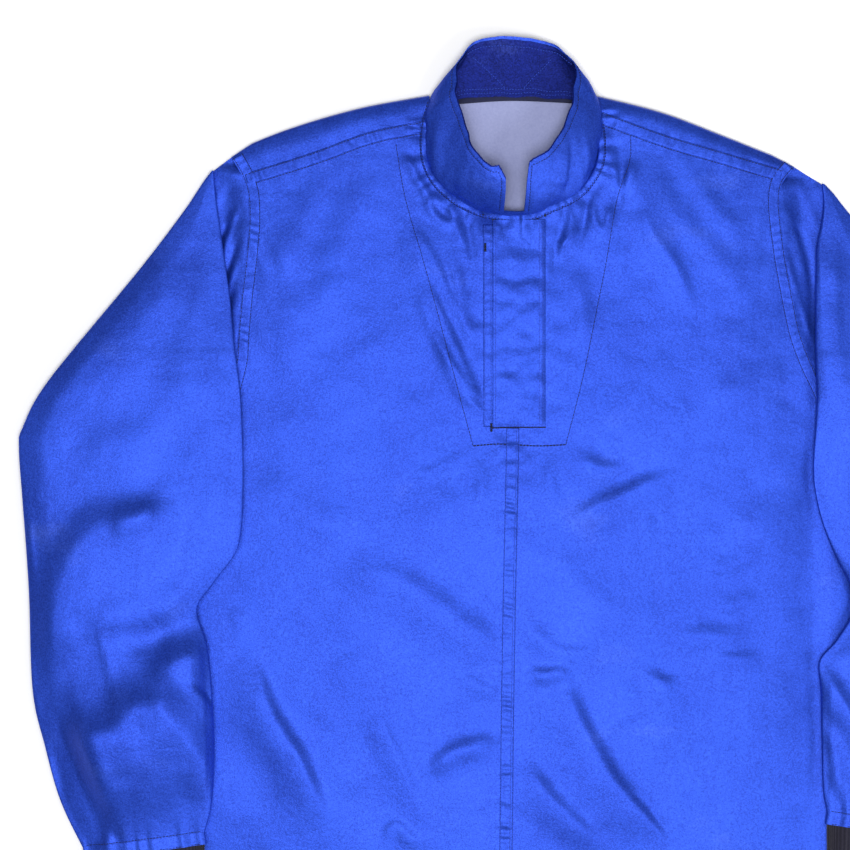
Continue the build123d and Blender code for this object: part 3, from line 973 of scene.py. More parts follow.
@dataclass
class Body:
    """Front and back panels, facings, seams and hem."""

    lay: Lay
    relief: FrontRelief
    finishes: Finishes
    spacing: float = 2.2
    slit: Dict[Side, float] = field(default_factory=lambda: {Side.RIGHT: -15.6, Side.LEFT: 21.0})
    made: List[bpy.types.Object] = field(default_factory=list)

    def front_outline(self, side: Side) -> Plan:
        """Outline of one front from the centre front round the neck, shoulder, armhole and side.

        Args:
            side: Which front.

        Returns:
            Its corners in order, in millimetres.
        """
        way, lay = side.value, self.lay
        neck = [p for p in lay.neck if way * (p[0] - 2) > 0 and p[1] < -20]
        neck = sorted(neck, key=lambda p: way * p[0] + p[1] * 0.2)
        slit = self.slit[side]
        collar = Path([(slit, -97.5)] + [p for p in neck if way * p[0] > way * slit + 2], smooth=True)
        run = [(0.0, lay.hem), (0.0, -262.5), (slit, -262.5)]
        run += [tuple(p) for p in collar.xy]
        run += [tuple(p) for p in Path(lay.seam[side]).xy]
        run += [tuple(p) for p in lay.armhole(side).xy if p[1] < lay.seam[side][-1][1] - 2]
        run += [(way * lay.half, lay.pit), (way * lay.half, lay.hem)]
        return np.array(run)

    def fronts(self) -> None:
        """Makes both fronts."""
        for side in Side:
            name = f"{side.label}_front_panel"
            piece = Bench.cut_sheet(name, self.front_outline(side), self.spacing, self.relief,
                                    [self.finishes.satin, self.finishes.reverse])
            settle(Bench.thicken(piece, inner=1), ROOT, "satin_cloth", name)
            self.made.append(piece)

    def back(self) -> None:
        """Makes the back: the sheet that lies on the surface, wrapped over both shoulders."""
        lay = self.lay
        run = [(-lay.half + 3, lay.hem), (lay.half - 3, lay.hem), (lay.half - 3, lay.pit)]
        run += [tuple(p) for p in lay.armhole(Side.LEFT).xy[::-1]]
        run += [tuple(p) for p in Path(lay.shoulder[Side.LEFT]).xy[::-1]] + [(0.0, 2.0)]
        run += [tuple(p) for p in Path(lay.shoulder[Side.RIGHT]).xy]
        run += [tuple(p) for p in lay.armhole(Side.RIGHT).xy] + [(-lay.half + 3, lay.pit)]
        folds = [Fold([(-30, -8), (-26, -30), (-30, -60)], 1.0, 5, 7, 0.4),
                 Fold([(8, -6), (10, -24), (4, -48)], 0.7, 4, 6, 0.4),
                 Crumple(21, 26.0, 0.5)]

        def height(xy: Plan) -> np.ndarray:
            """Height of the back, which creases only inside the neck."""
            crease = np.clip(sum(f.at(xy) for f in folds), -0.3, 2.0)
            return 1.0 + crease * np.clip((-xy[:, 1] + 3) / 12, 0, 1)

        piece = Bench.cut_sheet("back_panel", np.array(run), 4.0, height,
                                [self.finishes.reverse, self.finishes.satin])
        Bench.thicken(piece, inner=1).modifiers["cloth"].material_offset_rim = 1
        wraps = [self.wrap(side) for side in Side]
        for wrap in wraps:
            settle(Bench.thicken(wrap, inner=1), ROOT, "satin_cloth")
        settle(piece, ROOT, "satin_cloth", "back_panel")

    def wrap(self, side: Side) -> bpy.types.Object:
        """Part of the back that turns over a shoulder and comes forward to the shoulder seam.

        Args:
            side: Which shoulder.

        Returns:
            The open sheet.
        """
        fold, seam = Path(self.lay.shoulder[side]), Path(self.lay.seam[side])
        bm = Bench.grid(int(fold.length / 2.2), 26)
        uv = Bench.places(bm)
        top, low = fold.at(uv[:, 0] * fold.length), seam.at(uv[:, 0] * seam.length)
        turn = np.clip(uv[:, 1] / 0.42, 0, 1) * math.pi
        ahead = np.clip((uv[:, 1] - 0.42) / 0.58, 0, 1)
        xy = top + (low - top) * ahead[:, None]
        rise = self.relief(xy)
        bow = 2.4 * np.sin(turn) * np.clip((1 - uv[:, 0]) / 0.12, 0, 1)
        out = fold.normal(uv[:, 0] * fold.length) * (1 if side is Side.LEFT else -1)
        xy = xy + out * (bow * (ahead <= 0))[:, None]
        z = np.where(ahead > 0, rise, 0.6 + (rise - 0.6) * (0.5 - 0.5 * np.cos(turn)))
        soft = np.clip(ahead / 0.5, 0, 1)
        z = z - 2.2 * (1 - soft) ** 2 * (uv[:, 1] > 0.2)
        Bench.fill(bm, np.column_stack([xy, np.maximum(z, 0.6)]))
        bm.normal_update()
        lead = [f for f in bm.faces if f.calc_center_median().z > 0.008]
        if sum(f.normal.z for f in lead) < 0:
            bmesh.ops.reverse_faces(bm, faces=bm.faces)
        return Bench.finish(f"{side.label}_shoulder_wrap", bm, [self.finishes.satin, self.finishes.reverse])

    def facings(self) -> None:
        """Makes the V shaped facings under the fronts, held by their stitching."""
        for side in Side:
            way = side.value
            line = {Side.RIGHT: [(-93, -44), (-84, -84), (-70, -136), (-57, -184), (-40, -248),
                                 (-31, -281)],
                    Side.LEFT: [(95, -40), (84, -84), (75, -136), (68, -171), (48, -251), (43, -280)]}[side]
            slit = self.slit[side]
            run = [tuple(p) for p in Path(line).xy] + [(0.3 * way, -281.0), (0.3 * way, -263.0),
                                                       (slit, -263.0), (slit, -99.0),
                                                       (way * 40, -86.0), (way * 60, -70.0),
                                                       (way * 72, -48.0)]
            name = f"{side.label}_front_facing"
            piece = Bench.cut_sheet(name, np.array(run), 4.0, lifted(self.relief, -0.9),
                                    [self.finishes.facing])
            settle(Bench.thicken(piece, 0.4), ROOT, "inner_cloth", name)

    def felled(self, name: str, path: Path, near: float, far: float, lift: float, ladder: float) -> None:
        """Lays one felled seam strip on the front and names the node that it stands for.

        Args:
            name: Name of the piece and of its node.
            path: Line of the seam.
            near: Offset of one long edge.
            far: Offset of the other.
            lift: Thickness over the front.
            ladder: Height of its ripples.
        """
        piece = Bench.ribbon(name, path, near, far, self.relief, lift, [self.finishes.satin], ladder=ladder)
        settle(piece, ROOT, "satin_cloth", name)
        self.made.append(piece)

    def seams(self) -> None:
        """Makes the felled seams of the shoulders, armholes and centre front with their stitching."""
        lay, blue, dark = self.lay, self.finishes.blue_thread, self.finishes.dark_thread
        # The near-black rows here are painted shade of the stitch grooves, not the thread's colour.
        rows_dark: List[Tuple[Path, float]] = []
        rows_blue: List[Tuple[Path, float]] = []
        for side in Side:
            way = side.value
            seam = Path(lay.seam[side])
            self.felled(f"{side.label}_shoulder_fell", seam, -4.5 * way, 4.8 * way, 0.5, 0.2)
            rows_dark += [(seam.beside(3.6 * way), 0.5), (seam.beside(-5.1 * way), 0.1)]
            arm = lay.armhole(side)
            under = {Side.RIGHT: [(-226, -232), (-234, -252)], Side.LEFT: [(250, -234), (258, -252)]}[side]
            strip = Path([tuple(p) for p in arm.at(np.linspace(2.0, arm.length, 12))] + under)
            self.felled(f"{side.label}_armhole_fell", strip, 0.4 * way, -9.0 * way, 0.42, 0.36)
            rows_dark += [(strip.beside(-1.2 * way), 0.5), (strip.beside(-8.9 * way), 0.2)]
        centre = Path([(0.5, -266), (0, -300), (-2, -390), (-3.5, -480), (-5, -600), (-6, lay.hem + 1)])
        self.felled("centre_front_fell", centre, -5.0, 5.0, 0.42, 0.5)
        rows_blue += [(centre.beside(3.2), 0.5), (centre.beside(-4.6), 0.4), (centre.beside(5.3), 0.1)]
        vee_right = Path([(-93, -39), (-85, -84), (-70, -136), (-57, -184), (-40, -248), (-31, -281)])
        vee_left = Path([(95, -32), (94, -53), (84, -84), (75, -136), (68, -171), (57, -225), (43, -280)])
        foot = Path([(-31, -281), (-10, -279.5), (20, -281), (43, -280)])
        rows_dark += [(vee_right, 0.1), (vee_left, 0.1), (foot, 0.1), (foot.beside(0.5), 0.15)]
        for name, rows, thread in (("seam_stitches_blue", rows_blue, blue),
                                   ("seam_stitches_dark", rows_dark, dark)):
            piece = Bench.stitches(name, [Bench.laid(path, self.relief, over) for path, over in rows],
                                   thread)
            settle(piece, ROOT, "thread")
            self.made.append(piece)

    def hem(self) -> None:
        """Makes the turned up hem inside the lower edge, the side seams and the hem's stitching."""
        lay = self.lay
        bm = Bench.grid(240, 6)
        uv = Bench.places(bm)
        turn = 2 * math.pi * uv[:, 0]
        x = (lay.half - 2.5) * np.cos(turn)
        y = lay.hem + 0.4 + 23 * uv[:, 1]
        top = self.relief(np.column_stack([x, y])) + INSIDE_TOP
        z = np.where(np.sin(turn) >= 0, np.maximum(top, 1.8), 1.8)
        Bench.fill(bm, np.column_stack([x, y, z]))
        bmesh.ops.remove_doubles(bm, verts=bm.verts, dist=WELD * MM)
        piece = Bench.finish("bottom_hem", bm, [self.finishes.satin])
        settle(Bench.thicken(piece, 0.4), ROOT, "satin_cloth", "bottom_hem")
        row = Path([(-lay.half + 4, lay.hem + 20), (0, lay.hem + 20), (lay.half - 4, lay.hem + 20)])
        thread = Bench.stitches("hem_stitches", [Bench.laid(row, self.relief, 0.05)],
                                self.finishes.blue_thread)
        settle(thread, ROOT, "thread")
        for side in Side:
            line = Path([(side.value * (lay.half - 9), lay.pit - 2),
                         (side.value * (lay.half - 9), lay.hem + 26)])
            strip = Bench.ribbon(f"{side.label}_side_fell", line, -4.5, 4.5, even(1.3), 0.5,
                                 [self.finishes.reverse], step=6.0)
            settle(strip, ROOT, "satin_cloth", f"{side.label}_side_fell")

    def build(self) -> None:
        """Builds the body and logs how many pieces it made."""
        self.fronts()
        self.back()
        self.facings()
        self.seams()
        self.hem()
        log.info("body: %d pieces", len(self.made))


@dataclass
class Placket:
    """Flap, its sewn side, the buttonhole strip and the button stand."""

    body: Body
    fold_x: float = field(default_factory=lambda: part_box("placket_flap")[1].x / MM)
    free_x: float = field(default_factory=lambda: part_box("placket_flap")[0].x / MM)
    sewn_x: float = field(default_factory=lambda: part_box("placket_flap_base")[1].x / MM)
    top: float = field(default_factory=lambda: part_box("placket_flap")[1].y / MM + 1.6)
    foot: float = field(default_factory=lambda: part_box("placket_flap_base")[0].y / MM)
    level: float = field(default_factory=lambda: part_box("placket_flap")[0].z / MM)
    crown: float = 12.0
    buttons: Tuple[float, ...] = (-129.0, -183.0, -238.0)
    waves: Tuple[Tuple[float, float, float], ...] = (
        (-120, -0.4, 4), (-131, 0.4, 4), (-145, -0.6, 4), (-163, -0.5, 4), (-174, 0.4, 5), (-200, -0.6, 5),
        (-214, 0.3, 4), (-226, 0.5, 4), (-236, -0.4, 4), (-250, 0.4, 5))

    def cover(self, xy: Plan) -> np.ndarray:
        """Height of the flap's top face: over the buttons in the middle, down to the front at the sewn edges.

        Args:
            xy: Points on the plan.

        Returns:
            One height for each point.
        """
        ground = self.body.relief(xy)
        x, y = xy[:, 0], xy[:, 1]
        down = np.clip((self.sewn_x + 0.6 - x) / 3.0, 0, 1) * np.clip((y - self.foot + 0.5) / 6.0, 0, 1)
        prints = sum(0.7 * np.exp(-(((x - 3) / 9) ** 2 + ((y - by) / 7) ** 2)) for by in self.buttons)
        bars = sum(Fold([(-15, wy), (5, wy - 2.5), (26, wy - 0.5)], h, w, w, 0.12).at(xy) for wy, h,
                   w in self.waves)
        rough = Crumple(31, 16.0, 0.4, 2.2).at(xy) + Crumple(32, 7.0, 0.12, 2.0).at(xy)
        seat = 0.35 + 0.40 * np.clip((self.sewn_x - x) / 4.0, 0, 1)
        return ground + seat + (self.level + 0.4 - self.crown) * 0.6 * down + prints + bars + rough

    def sheet_between(self, name: str, x0: float, x1: float, y0: float, y1: float, height: Heights,
                      material: bpy.types.Material, thick: float, spacing: float = 1.5) -> bpy.types.Object:
        """Cuts a rectangular sheet.

        Args:
            name: Name of the piece.
            x0: Lowest X.
            x1: Highest X.
            y0: Lowest Y.
            y1: Highest Y.
            height: Height of the cloth over the plan.
            material: Its material.
            thick: Its thickness.
            spacing: Size of the mesh's squares.

        Returns:
            The thickened sheet.
        """
        outline = np.array([(x0, y0), (x1, y0), (x1, y1), (x0, y1)])
        piece = Bench.cut_sheet(name, outline, spacing, height, [material])
        return Bench.thicken(piece, thick)

    def build(self) -> None:
        """Builds the placket."""
        finishes = self.body.finishes
        flap = self.sheet_between("placket_flap", self.free_x, self.fold_x + 0.3, self.foot + 0.2,
                                  self.top, self.cover,
                                  finishes.satin, 0.8)
        side = self.sheet_between("placket_flap_base", self.fold_x + 0.3, self.sewn_x, self.foot + 0.2,
                                  self.top, self.cover,
                                  finishes.satin, 0.8)
        rows = [(Path([(self.free_x + 1.8, self.top - 2), (self.free_x + 1.8, self.foot + 3)],
                      smooth=False), 0.0),
                (Path([(self.free_x + 1, self.foot + 1.6), (self.fold_x, self.foot + 1.6)], smooth=False),
                 0.05)]
        sewn = [(Path([(self.sewn_x - 2.2, self.top - 1), (self.sewn_x - 2.2, self.foot + 1)],
                      smooth=False), 0.0),
                (Path([(self.sewn_x - 5.2, self.top - 1), (self.sewn_x - 5.2, self.foot + 1)],
                      smooth=False), 0.0)]
        flap_thread, side_thread = (
            Bench.stitches(name, [Bench.laid(path, self.cover, over + 0.1) for path, over in runs],
                           finishes.blue_thread,
                           **FINE) for name, runs in (("flap_stitches", rows),
                                                      ("flap_side_stitches", sewn)))
        for piece in (flap, flap_thread):
            self.level * MM
            self.level * MM
            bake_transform(piece)
        for piece in (side, side_thread):
            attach(piece, ROOT)
        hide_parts("placket_flap")
        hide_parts("placket_flap_base")
        self.inner()
        self.tacks()
        log.info("placket: flap, side, strip, stand, edge and tacks")

    def inner(self) -> None:
        """Builds the buttonhole strip, the button stand and the folded edge beside the flap."""
        finishes, relief = self.body.finishes, self.body.relief
        wave = Crumple(41, 14.0, 0.12)
        for node, material, flat in (("placket_underlay", finishes.facing, (0.052, 0.166)),
                                     ("buttonhole_strip", finishes.satin, (0.034, 0.162))):
            low, high = (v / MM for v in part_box(node))
            middle = (low.z + high.z) / 2 + 0.25
            piece = self.sheet_between(node, low.x, high.x, low.y, high.y, lambda xy: middle + wave.at(xy),
                                       material, 0.5, 2.5)
            settle(piece, ROOT, "inner_cloth", node)
        low, high = (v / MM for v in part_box("placket_edge"))
        line = Path([(high.x - 1.5, high.y), (high.x - 1.0, low.y)])
        edge = Bench.ribbon("placket_edge", line, 5.6, -2.8, relief, 0.35, [finishes.satin], across=8,
                            ladder=0.3,
                            crown=0.7)
        runs = [Bench.laid(line.beside(d), relief, 0.5) for d in (3.4, -1.6)]
        thread = Bench.stitches("placket_edge_stitches", runs, finishes.blue_thread, **FINE)
        settle(edge, ROOT, "satin_cloth", "placket_edge")
        settle(thread, ROOT, "thread")
        self.body.made += [edge, thread]

    def tacks(self) -> None:
        """Builds the bar tacks: packed threads across the ends of the placket's seams."""
        relief, thread = self.body.relief, self.body.finishes.dark_thread
        rows = [(Path([(x + dx, y - 3.5), (x + dx, y + 3.5)], smooth=False), 0.9)
                for x, y in ((-21.5, -122.0), (-16.5, -266.0), (-23.0, -93.0),
                             (26.5, -94.0)) for dx in (-0.6, 0.0, 0.6)]
        foot = Path([(self.free_x - 1, self.foot - 0.6), (5, self.foot - 0.1), (self.sewn_x, self.foot)],
                    smooth=True)
        rows += [(foot, 0.3), (foot.beside(-0.5), 0.2)]
        runs = [Bench.laid(path, relief, over) for path, over in rows]
        piece = Bench.stitches("placket_bar_tacks", runs, thread, pitch=2.0, length=2.6, radius=0.4)
        settle(piece, ROOT, "thread", "placket_bar_tacks")


@dataclass
class Collar:
    """Stand collar round a leaning ring, with its neck band and tape: satin outside, and inside a darker copy of the
    satin that paints the shade within the stand.
    """

    lay: Lay
    relief: FrontRelief
    finishes: Finishes
    edge: List[Tuple[float, float]] = field(default_factory=lambda: [
        (3, -60), (22, -52), (37, -36), (45, -19), (50, 2), (50, 23), (33, 41), (0, 47), (-29, 43),
        (-44, 25),
        (-46, 5), (-42, -14), (-34, -41), (-18, -60)])
    bulge: Tuple[float, ...] = (3, 3, 3, 6, 9, 4, 2, 1, 2, 4, 9, 6, 3, 3)
    columns: int = 340
    rows: int = 46
    stand: float = 45.0
    sewn: float = 3.6
    extras: List[bpy.types.Object] = field(default_factory=list)

    def __post_init__(self) -> None:
        """Fixes the folds that both cloths of the collar share, over length round it and height up the stand."""
        self.folds: List[object] = [
            Crumple(51, 24.0, 1.3, 0.6), Crumple(52, 10.0, 0.55), Crumple(53, 5.0, 0.14),
            Fold([(34, 6), (46, 22), (58, 42)], -2.2, 5, 8, 0.3),
            Fold([(18, 30), (32, 22), (52, 8)], 1.6, 4, 4, 0.3),
            Fold([(8, 18), (22, 26), (36, 40)], -1.4, 4, 5, 0.3),
            Fold([(62, 6), (66, 20), (74, 38)], 1.4, 4, 7, 0.3),
            Fold([(330, 10), (345, 26), (352, 40)], -2.0, 6, 8, 0.3),
            Fold([(300, 36), (318, 24), (330, 10)], 1.4, 5, 6, 0.3),
            Fold([(352, 8), (362, 20), (376, 34)], 1.4, 4, 5, 0.3),
            Fold([(286, 8), (296, 22), (300, 40)], 1.2, 6, 5, 0.3)]

    def level(self, rise: float, y: np.ndarray) -> np.ndarray:
        """Height of the collar's middle surface at a share of its stand and a place along Y.

        Args:
            rise: Share of the stand.
            y: Places along Y.

        Returns:
            One height for each place.
        """
        swell = 4 * rise * (1 - rise)
        front = self.lay.crown + 1.2 + 23.0 * rise + 3 * swell
        back = 2.2 + 12.0 * rise + swell
        y0 = -98 * (1 - rise) - 60 * rise
        y1 = 2 * (1 - rise) + 47 * rise
        return front + (y - y0) * (back - front) / (y1 - y0)

    def row(self, rise: float, share: np.ndarray, inset: float, slit: bool = True, out: float = 0.0,
            up: float = 0.0, relief: Optional[Sequence[object]] = None) -> np.ndarray:
        """Places on the collar at one share of its stand.

        Args:
            rise: Share of the stand.
            share: Shares of the way round, from the left front's edge to the right front's.
            inset: How far the surface lies inside the collar's outer face.
            slit: Whether it ends at the front opening.
            out: Lift off that surface, outwards.
            up: Lift off that surface, upwards.
            relief: Folds over (length round the collar, height up the stand).

        Returns:
            One place for each share.
        """
        swell = 4 * rise * (1 - rise)
        base, top = np.array(self.lay.neck, float), np.array(self.edge, float)
        around = np.roll(base, -1, 0) - np.roll(base, 1, 0)
        around /= np.linalg.norm(around, axis=1, keepdims=True)
        away = np.stack([around[:, 1], -around[:, 0]], -1)
        points = base * (1 - rise) + top * rise + away * (np.array(self.bulge) * swell - inset)[:, None]
        loop = Path(points, closed=True)
        s0, s1 = 0.0, loop.length
        if slit:
            left_x = 9.0 + 2.5 * min(rise / 0.7, 1) + 2.0 * max(rise - 0.7, 0) / 0.3
            right_x = -7.0 + 1.5 * min(rise / 0.6, 1) - 3.0 * max(rise - 0.8, 0) / 0.2
            s = np.linspace(0, loop.length, 2000)
            xy = loop.at(s)
            starts = s[(xy[:, 1] < -30) & (s < loop.length / 2)]
            ends = s[(xy[:, 1] < -30) & (s > loop.length / 2)]
            s0 = float(np.interp(left_x, loop.at(starts)[:, 0], starts))
            s1 = float(np.interp(right_x, loop.at(ends)[:, 0], ends))
        s = s0 + (s1 - s0) * share
        xy = loop.at(s)
        flat = np.column_stack([(s - s0) * 400.0 / (s1 - s0), np.full(len(s), rise * self.stand)])
        push = sum((f.at(flat) for f in relief or ()), np.zeros(len(s))) + out
        if slit:
            side = np.minimum(s - s0, s1 - s)
            for gap in (side, np.full(len(s), (1 - rise) * self.stand)):
                push = push - 0.45 * np.exp(-((gap - self.sewn) / 0.9) ** 2) + 0.25 * np.exp(-((gap - 1.6) / 1.4) ** 2)
            curl = np.clip(1 - (s1 - s) / 9.0, 0, 1) * np.clip((rise - 0.8) / 0.2, 0, 1)
            xy = xy + np.column_stack([-3.0 * curl, 4.5 * curl])
            push = push + 1.5 * curl
        normal = -loop.normal(s)
        return np.column_stack([xy + normal * push[:, None], self.level(rise, xy[:, 1]) + up])

    def ring(self, name: str, inset: float, low: float, high: float, slit: bool,
             materials: Sequence[bpy.types.Material], relief: Sequence[object] = ()) -> bpy.types.Object:
        """Builds one leaning ring, open at the front slit if asked.

        Args:
            name: Name of the piece.
            inset: How far the surface lies inside the collar's outer face.
            low: Share of the stand where it starts.
            high: Share where it ends.
            slit: Whether it is cut open at the front.
            materials: Materials of its slots.
            relief: Folds over (length round the collar, height up the stand).

        Returns:
            The open sheet, facing away from the neck.
        """
        bm = Bench.grid(self.columns, self.rows)
        uv = Bench.places(bm)
        places = np.zeros((len(uv), 3))
        turns = np.round(uv[:, 1] * self.rows).astype(int)
        for row in range(self.rows + 1):
            picked = turns == row
            rise = low + (high - low) * row / self.rows
            places[picked] = self.row(rise, uv[picked, 0], inset, slit, relief=relief)
        Bench.fill(bm, places)
        if not slit:
            bmesh.ops.remove_doubles(bm, verts=bm.verts, dist=0.02 * MM)
        bm.normal_update()
        centre = Vector((0.0, -0.03, 0.0))
        score = sum((f.calc_center_median() - centre).to_2d().dot(f.normal.to_2d()) for f in bm.faces)
        if score < 0:
            bmesh.ops.reverse_faces(bm, faces=bm.faces)
        return Bench.finish(name, bm, materials)

    def stitching(self) -> List[bpy.types.Object]:
        """Sews the rows along the collar's edges, and the rows and diagonals inside its back.

        Returns:
            The outer rows, then the inner ones.
        """
        # The collar's outer rows in near-black thread are painted shade of the stitch grooves.
        dark, folds = self.finishes.dark_thread, self.folds
        share = np.linspace(0.012, 0.988, 420)
        outer = [self.row(1 - self.sewn / self.stand, share, 0.6, out=0.25, up=0.3, relief=folds)]
        for end in (0.0095, 0.9905):
            rises = np.linspace(0.12, 0.92, 50)
            outer.append(np.vstack([self.row(r, np.array([end]), 0.6, out=0.25, up=0.3,
                                             relief=folds) for r in rises]))
        inner = [self.row(r, share[80:340], 2.6, out=-0.5, up=0.75, relief=folds) for r in (0.87, 0.13,
                                                                                            0.07)]
        for start, stop in ((0.40, 0.475), (0.59, 0.515)):
            steps = np.linspace(0, 1, 50)
            run = [self.row(0.72 - 0.58 * t, np.array([start + (stop - start) * t]), 2.6, out=-0.5,
                            up=0.75, relief=folds) for t in steps]
            inner.append(np.vstack(run))
        return [Bench.stitches("collar_stitches", outer, dark, **SMALL),
                Bench.stitches("collar_lining_stitches", inner, self.finishes.blue_thread, **SMALL)]

    def build(self) -> None:
        """Builds the collar."""
        finishes, folds = self.finishes, self.folds
        outer = Bench.thicken(self.ring("collar_outer", 0.6, 0.10, 1.0, True, [finishes.satin], folds))
        # The facing and the neck band's inner face take the darker satin copy, painted shade inside the collar stand.
        facing = Bench.thicken(self.ring("collar_facing", 2.6, 0.0, 0.985, True, [finishes.collar_lining],
                                         folds))
        band = self.ring("neck_band", 0.7, 0.0, 0.12, False, [finishes.satin, finishes.collar_lining])
        Bench.thicken(band, 1.2, inner=1)
        for piece, nodes, slot in ((outer, ("collar_outer", "collar_interlining"), "satin_cloth"),
                                   (facing, ("collar_facing",), "inner_cloth"),
                                   (band, ("neck_band",), "satin_cloth")):
            settle(piece, ROOT, slot, *nodes)
        neckline = Path(self.lay.neck[9:] + self.lay.neck[:6])
        ledge = Bench.ribbon("neckline_seam", neckline, 2.6, -3.2, self.relief, 1.3, [finishes.satin],
                             across=8, ladder=0.2,
                             crown=0.5)
        runs = [Bench.laid(neckline.beside(-2.2), self.relief, 1.1),
                Bench.laid(neckline.beside(-3.4), self.relief, 0.2)]
        # Near-black neckline rows: painted shade of the stitch grooves.
        thread = Bench.stitches("neckline_stitches", runs, finishes.dark_thread, pitch=2.6, length=2.1)
        sewn = self.stitching()
        for piece, slot in [(ledge, "satin_cloth"), (thread, "thread")] + [(piece,
                                                                            "thread") for piece in sewn]:
            settle(piece, ROOT, slot)
        low, high = (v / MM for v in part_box("back_neck_tape"))
        tape = Bench.ribbon("back_neck_tape", Path([(low.x, -4.2), (0, -1.5), (high.x, -3.6)]), 3.0, -2.2,
                            even(1.9), 0.7, [finishes.tape], across=6, ladder=0.3, pitch=4.0)
        settle(tape, ROOT, "neck_tape", "back_neck_tape")
        log.info("collar: outer cloth, facing, neck band, neckline seam, tape and stitching")
        self.extras = [ledge, thread]


@dataclass
class Sleeve:
    """One sleeve: a flattened tube beside and over the body, its head at the armhole, hem band and rib cuff."""

    side: Side
    lay: Lay
    relief: FrontRelief
    finishes: Finishes
    inner: List[Tuple[float, float]] = field(default_factory=list)
    outer: List[Tuple[float, float]] = field(default_factory=list)
    folds: List[object] = field(default_factory=list)
    tilt: float = 0.13
    dive: float = 18.0
    creased: float = 0.5
    around: int = 150
    step: float = 2.7

    def edges(self, y: np.ndarray) -> Tuple[np.ndarray, np.ndarray]:
        """X of the inner and outer edges at each y.

        Args:
            y: Places along Y.

        Returns:
            X of the inner edge and of the outer edge at each place.
        """
        found = []
        for points in (self.inner, self.outer):
            line = Path(points).xy
            order = np.argsort(line[:, 1])
            found.append(np.interp(y, line[order, 1], line[order, 0]))
        return found[0], found[1]

    def floor(self, x: np.ndarray, y: np.ndarray, x_in: np.ndarray, x_out: np.ndarray) -> np.ndarray:
        """Underside of the tube: clear of the body inside, down to the surface outside.

        Args:
            x: X of each point.
            y: Y of each point.
            x_in: Inner edge there.
            x_out: Outer edge there.

        Returns:
            One height for each point.
        """
        body = self.lay.dome(np.column_stack([x_in, y])) + 1.5
        start = np.clip((self.inner[0][1] - y) / 150.0, 0, 1)
        inside_z = np.where(y < -206, body, 2.5 + (body - 2.5) * start)
        t = np.clip((x - x_in) / np.where(np.abs(x_out - x_in) < 1, 1, x_out - x_in), 0, 1)
        return inside_z + (0.7 - inside_z) * t

    def tall(self, y: np.ndarray) -> np.ndarray:
        """Thickness of the flattened tube at each y."""
        line = self.inner[0][1] - y
        return 4.5 + 7.5 * np.clip(line / 170.0, 0, 1) - 2.0 * np.clip((line - 420) / 110.0, 0, 1)

    def loft(self, x: np.ndarray, y: np.ndarray, x_in: np.ndarray, x_out: np.ndarray) -> np.ndarray:
        """Thickness over the plan, which thins out towards both folded edges.

        Args:
            x: X of each point.
            y: Y of each point.
            x_in: Inner edge there.
            x_out: Outer edge there.

        Returns:
            One thickness for each point.
        """
        edge = np.clip(np.minimum(np.abs(x - x_in) / 26.0, np.abs(x - x_out) / 22.0), 0, 1)
        out = np.clip((x - x_in) / np.where(np.abs(x_out - x_in) < 1, 1, x_out - x_in), 0, 1)
        return self.tall(y) * (0.82 + 0.18 * edge * edge * (3 - 2 * edge)) * (0.92 + 0.30 * out)

    def surface(self, xy: Plan) -> np.ndarray:
        """Height of the sleeve's top face, for what is sewn on it.

        Args:
            xy: Points on the plan.

        Returns:
            One height for each point.
        """
        x_in, x_out = self.edges(xy[:, 1])
        mid, half = (x_in + x_out) / 2, np.maximum(np.abs(x_out - x_in) / 2, 0.5)
        t = np.clip(np.abs(xy[:, 0] - mid) / half, 0, 1)
        return self.top(xy[:, 0], xy[:, 1], x_in, x_out, np.sqrt(np.maximum(1 - t * t, 0)))

    def top(self, x: np.ndarray, y: np.ndarray, x_in: np.ndarray, x_out: np.ndarray,
            up: np.ndarray) -> np.ndarray:
        """Top face over the plan, where up is 0 at the edges and 1 in the middle.

        Args:
            x: X of each point.
            y: Y of each point.
            x_in: Inner edge there.
            x_out: Outer edge there.
            up: 0 at the edges and 1 in the middle.

        Returns:
            One height for each point.
        """
        xy = np.column_stack([x, y])
        relief = sum(f.at(xy) for f in self.folds)
        body = self.floor(x, y, x_in, x_out)
        return body + self.loft(x, y, x_in, x_out) * (0.5 + 0.5 * up ** 0.26) + relief * np.clip(up * 2.2,
                                                                                                 0, 1)

    def tube(self) -> bpy.types.Object:
        """Builds the sleeve's tube.

        Returns:
            The tube.
        """
        y_top, y_end = self.inner[0][1], self.inner[-1][1]
        rows = int(abs(y_end - y_top) / self.step)
        bm = Bench.grid(self.around, rows)
        uv = Bench.places(bm)
        turn, along = 2 * math.pi * uv[:, 0], uv[:, 1]
        y = y_top + (y_end - y_top) * along
        x_in, x_out = self.edges(y)
        mid, half = (x_in + x_out) / 2, (x_out - x_in) / 2
        side = np.cos(turn)
        x = mid - half * np.sign(side) * np.abs(side) ** 0.85
        up = np.sin(turn)
        body = self.floor(x, y, x_in, x_out)
        high = self.top(x, y, x_in, x_out, np.abs(up))
        low = body + self.loft(x, y, x_in, x_out) * (0.5 - 0.5 * np.abs(up) ** 0.3)
        z = np.where(up >= 0, high, low)
        slant = self.tilt * np.abs(x - x_in) * np.clip((along - 0.55) / 0.45, 0, 1)
        Bench.fill(bm, np.column_stack([x, y - slant, z]))
        Bench.close_tube(bm, 0.011)
        name = f"{self.side.label}_sleeve"
        piece = Bench.finish(name, bm, [self.finishes.satin, self.finishes.reverse])
        return Bench.thicken(piece, inner=1)

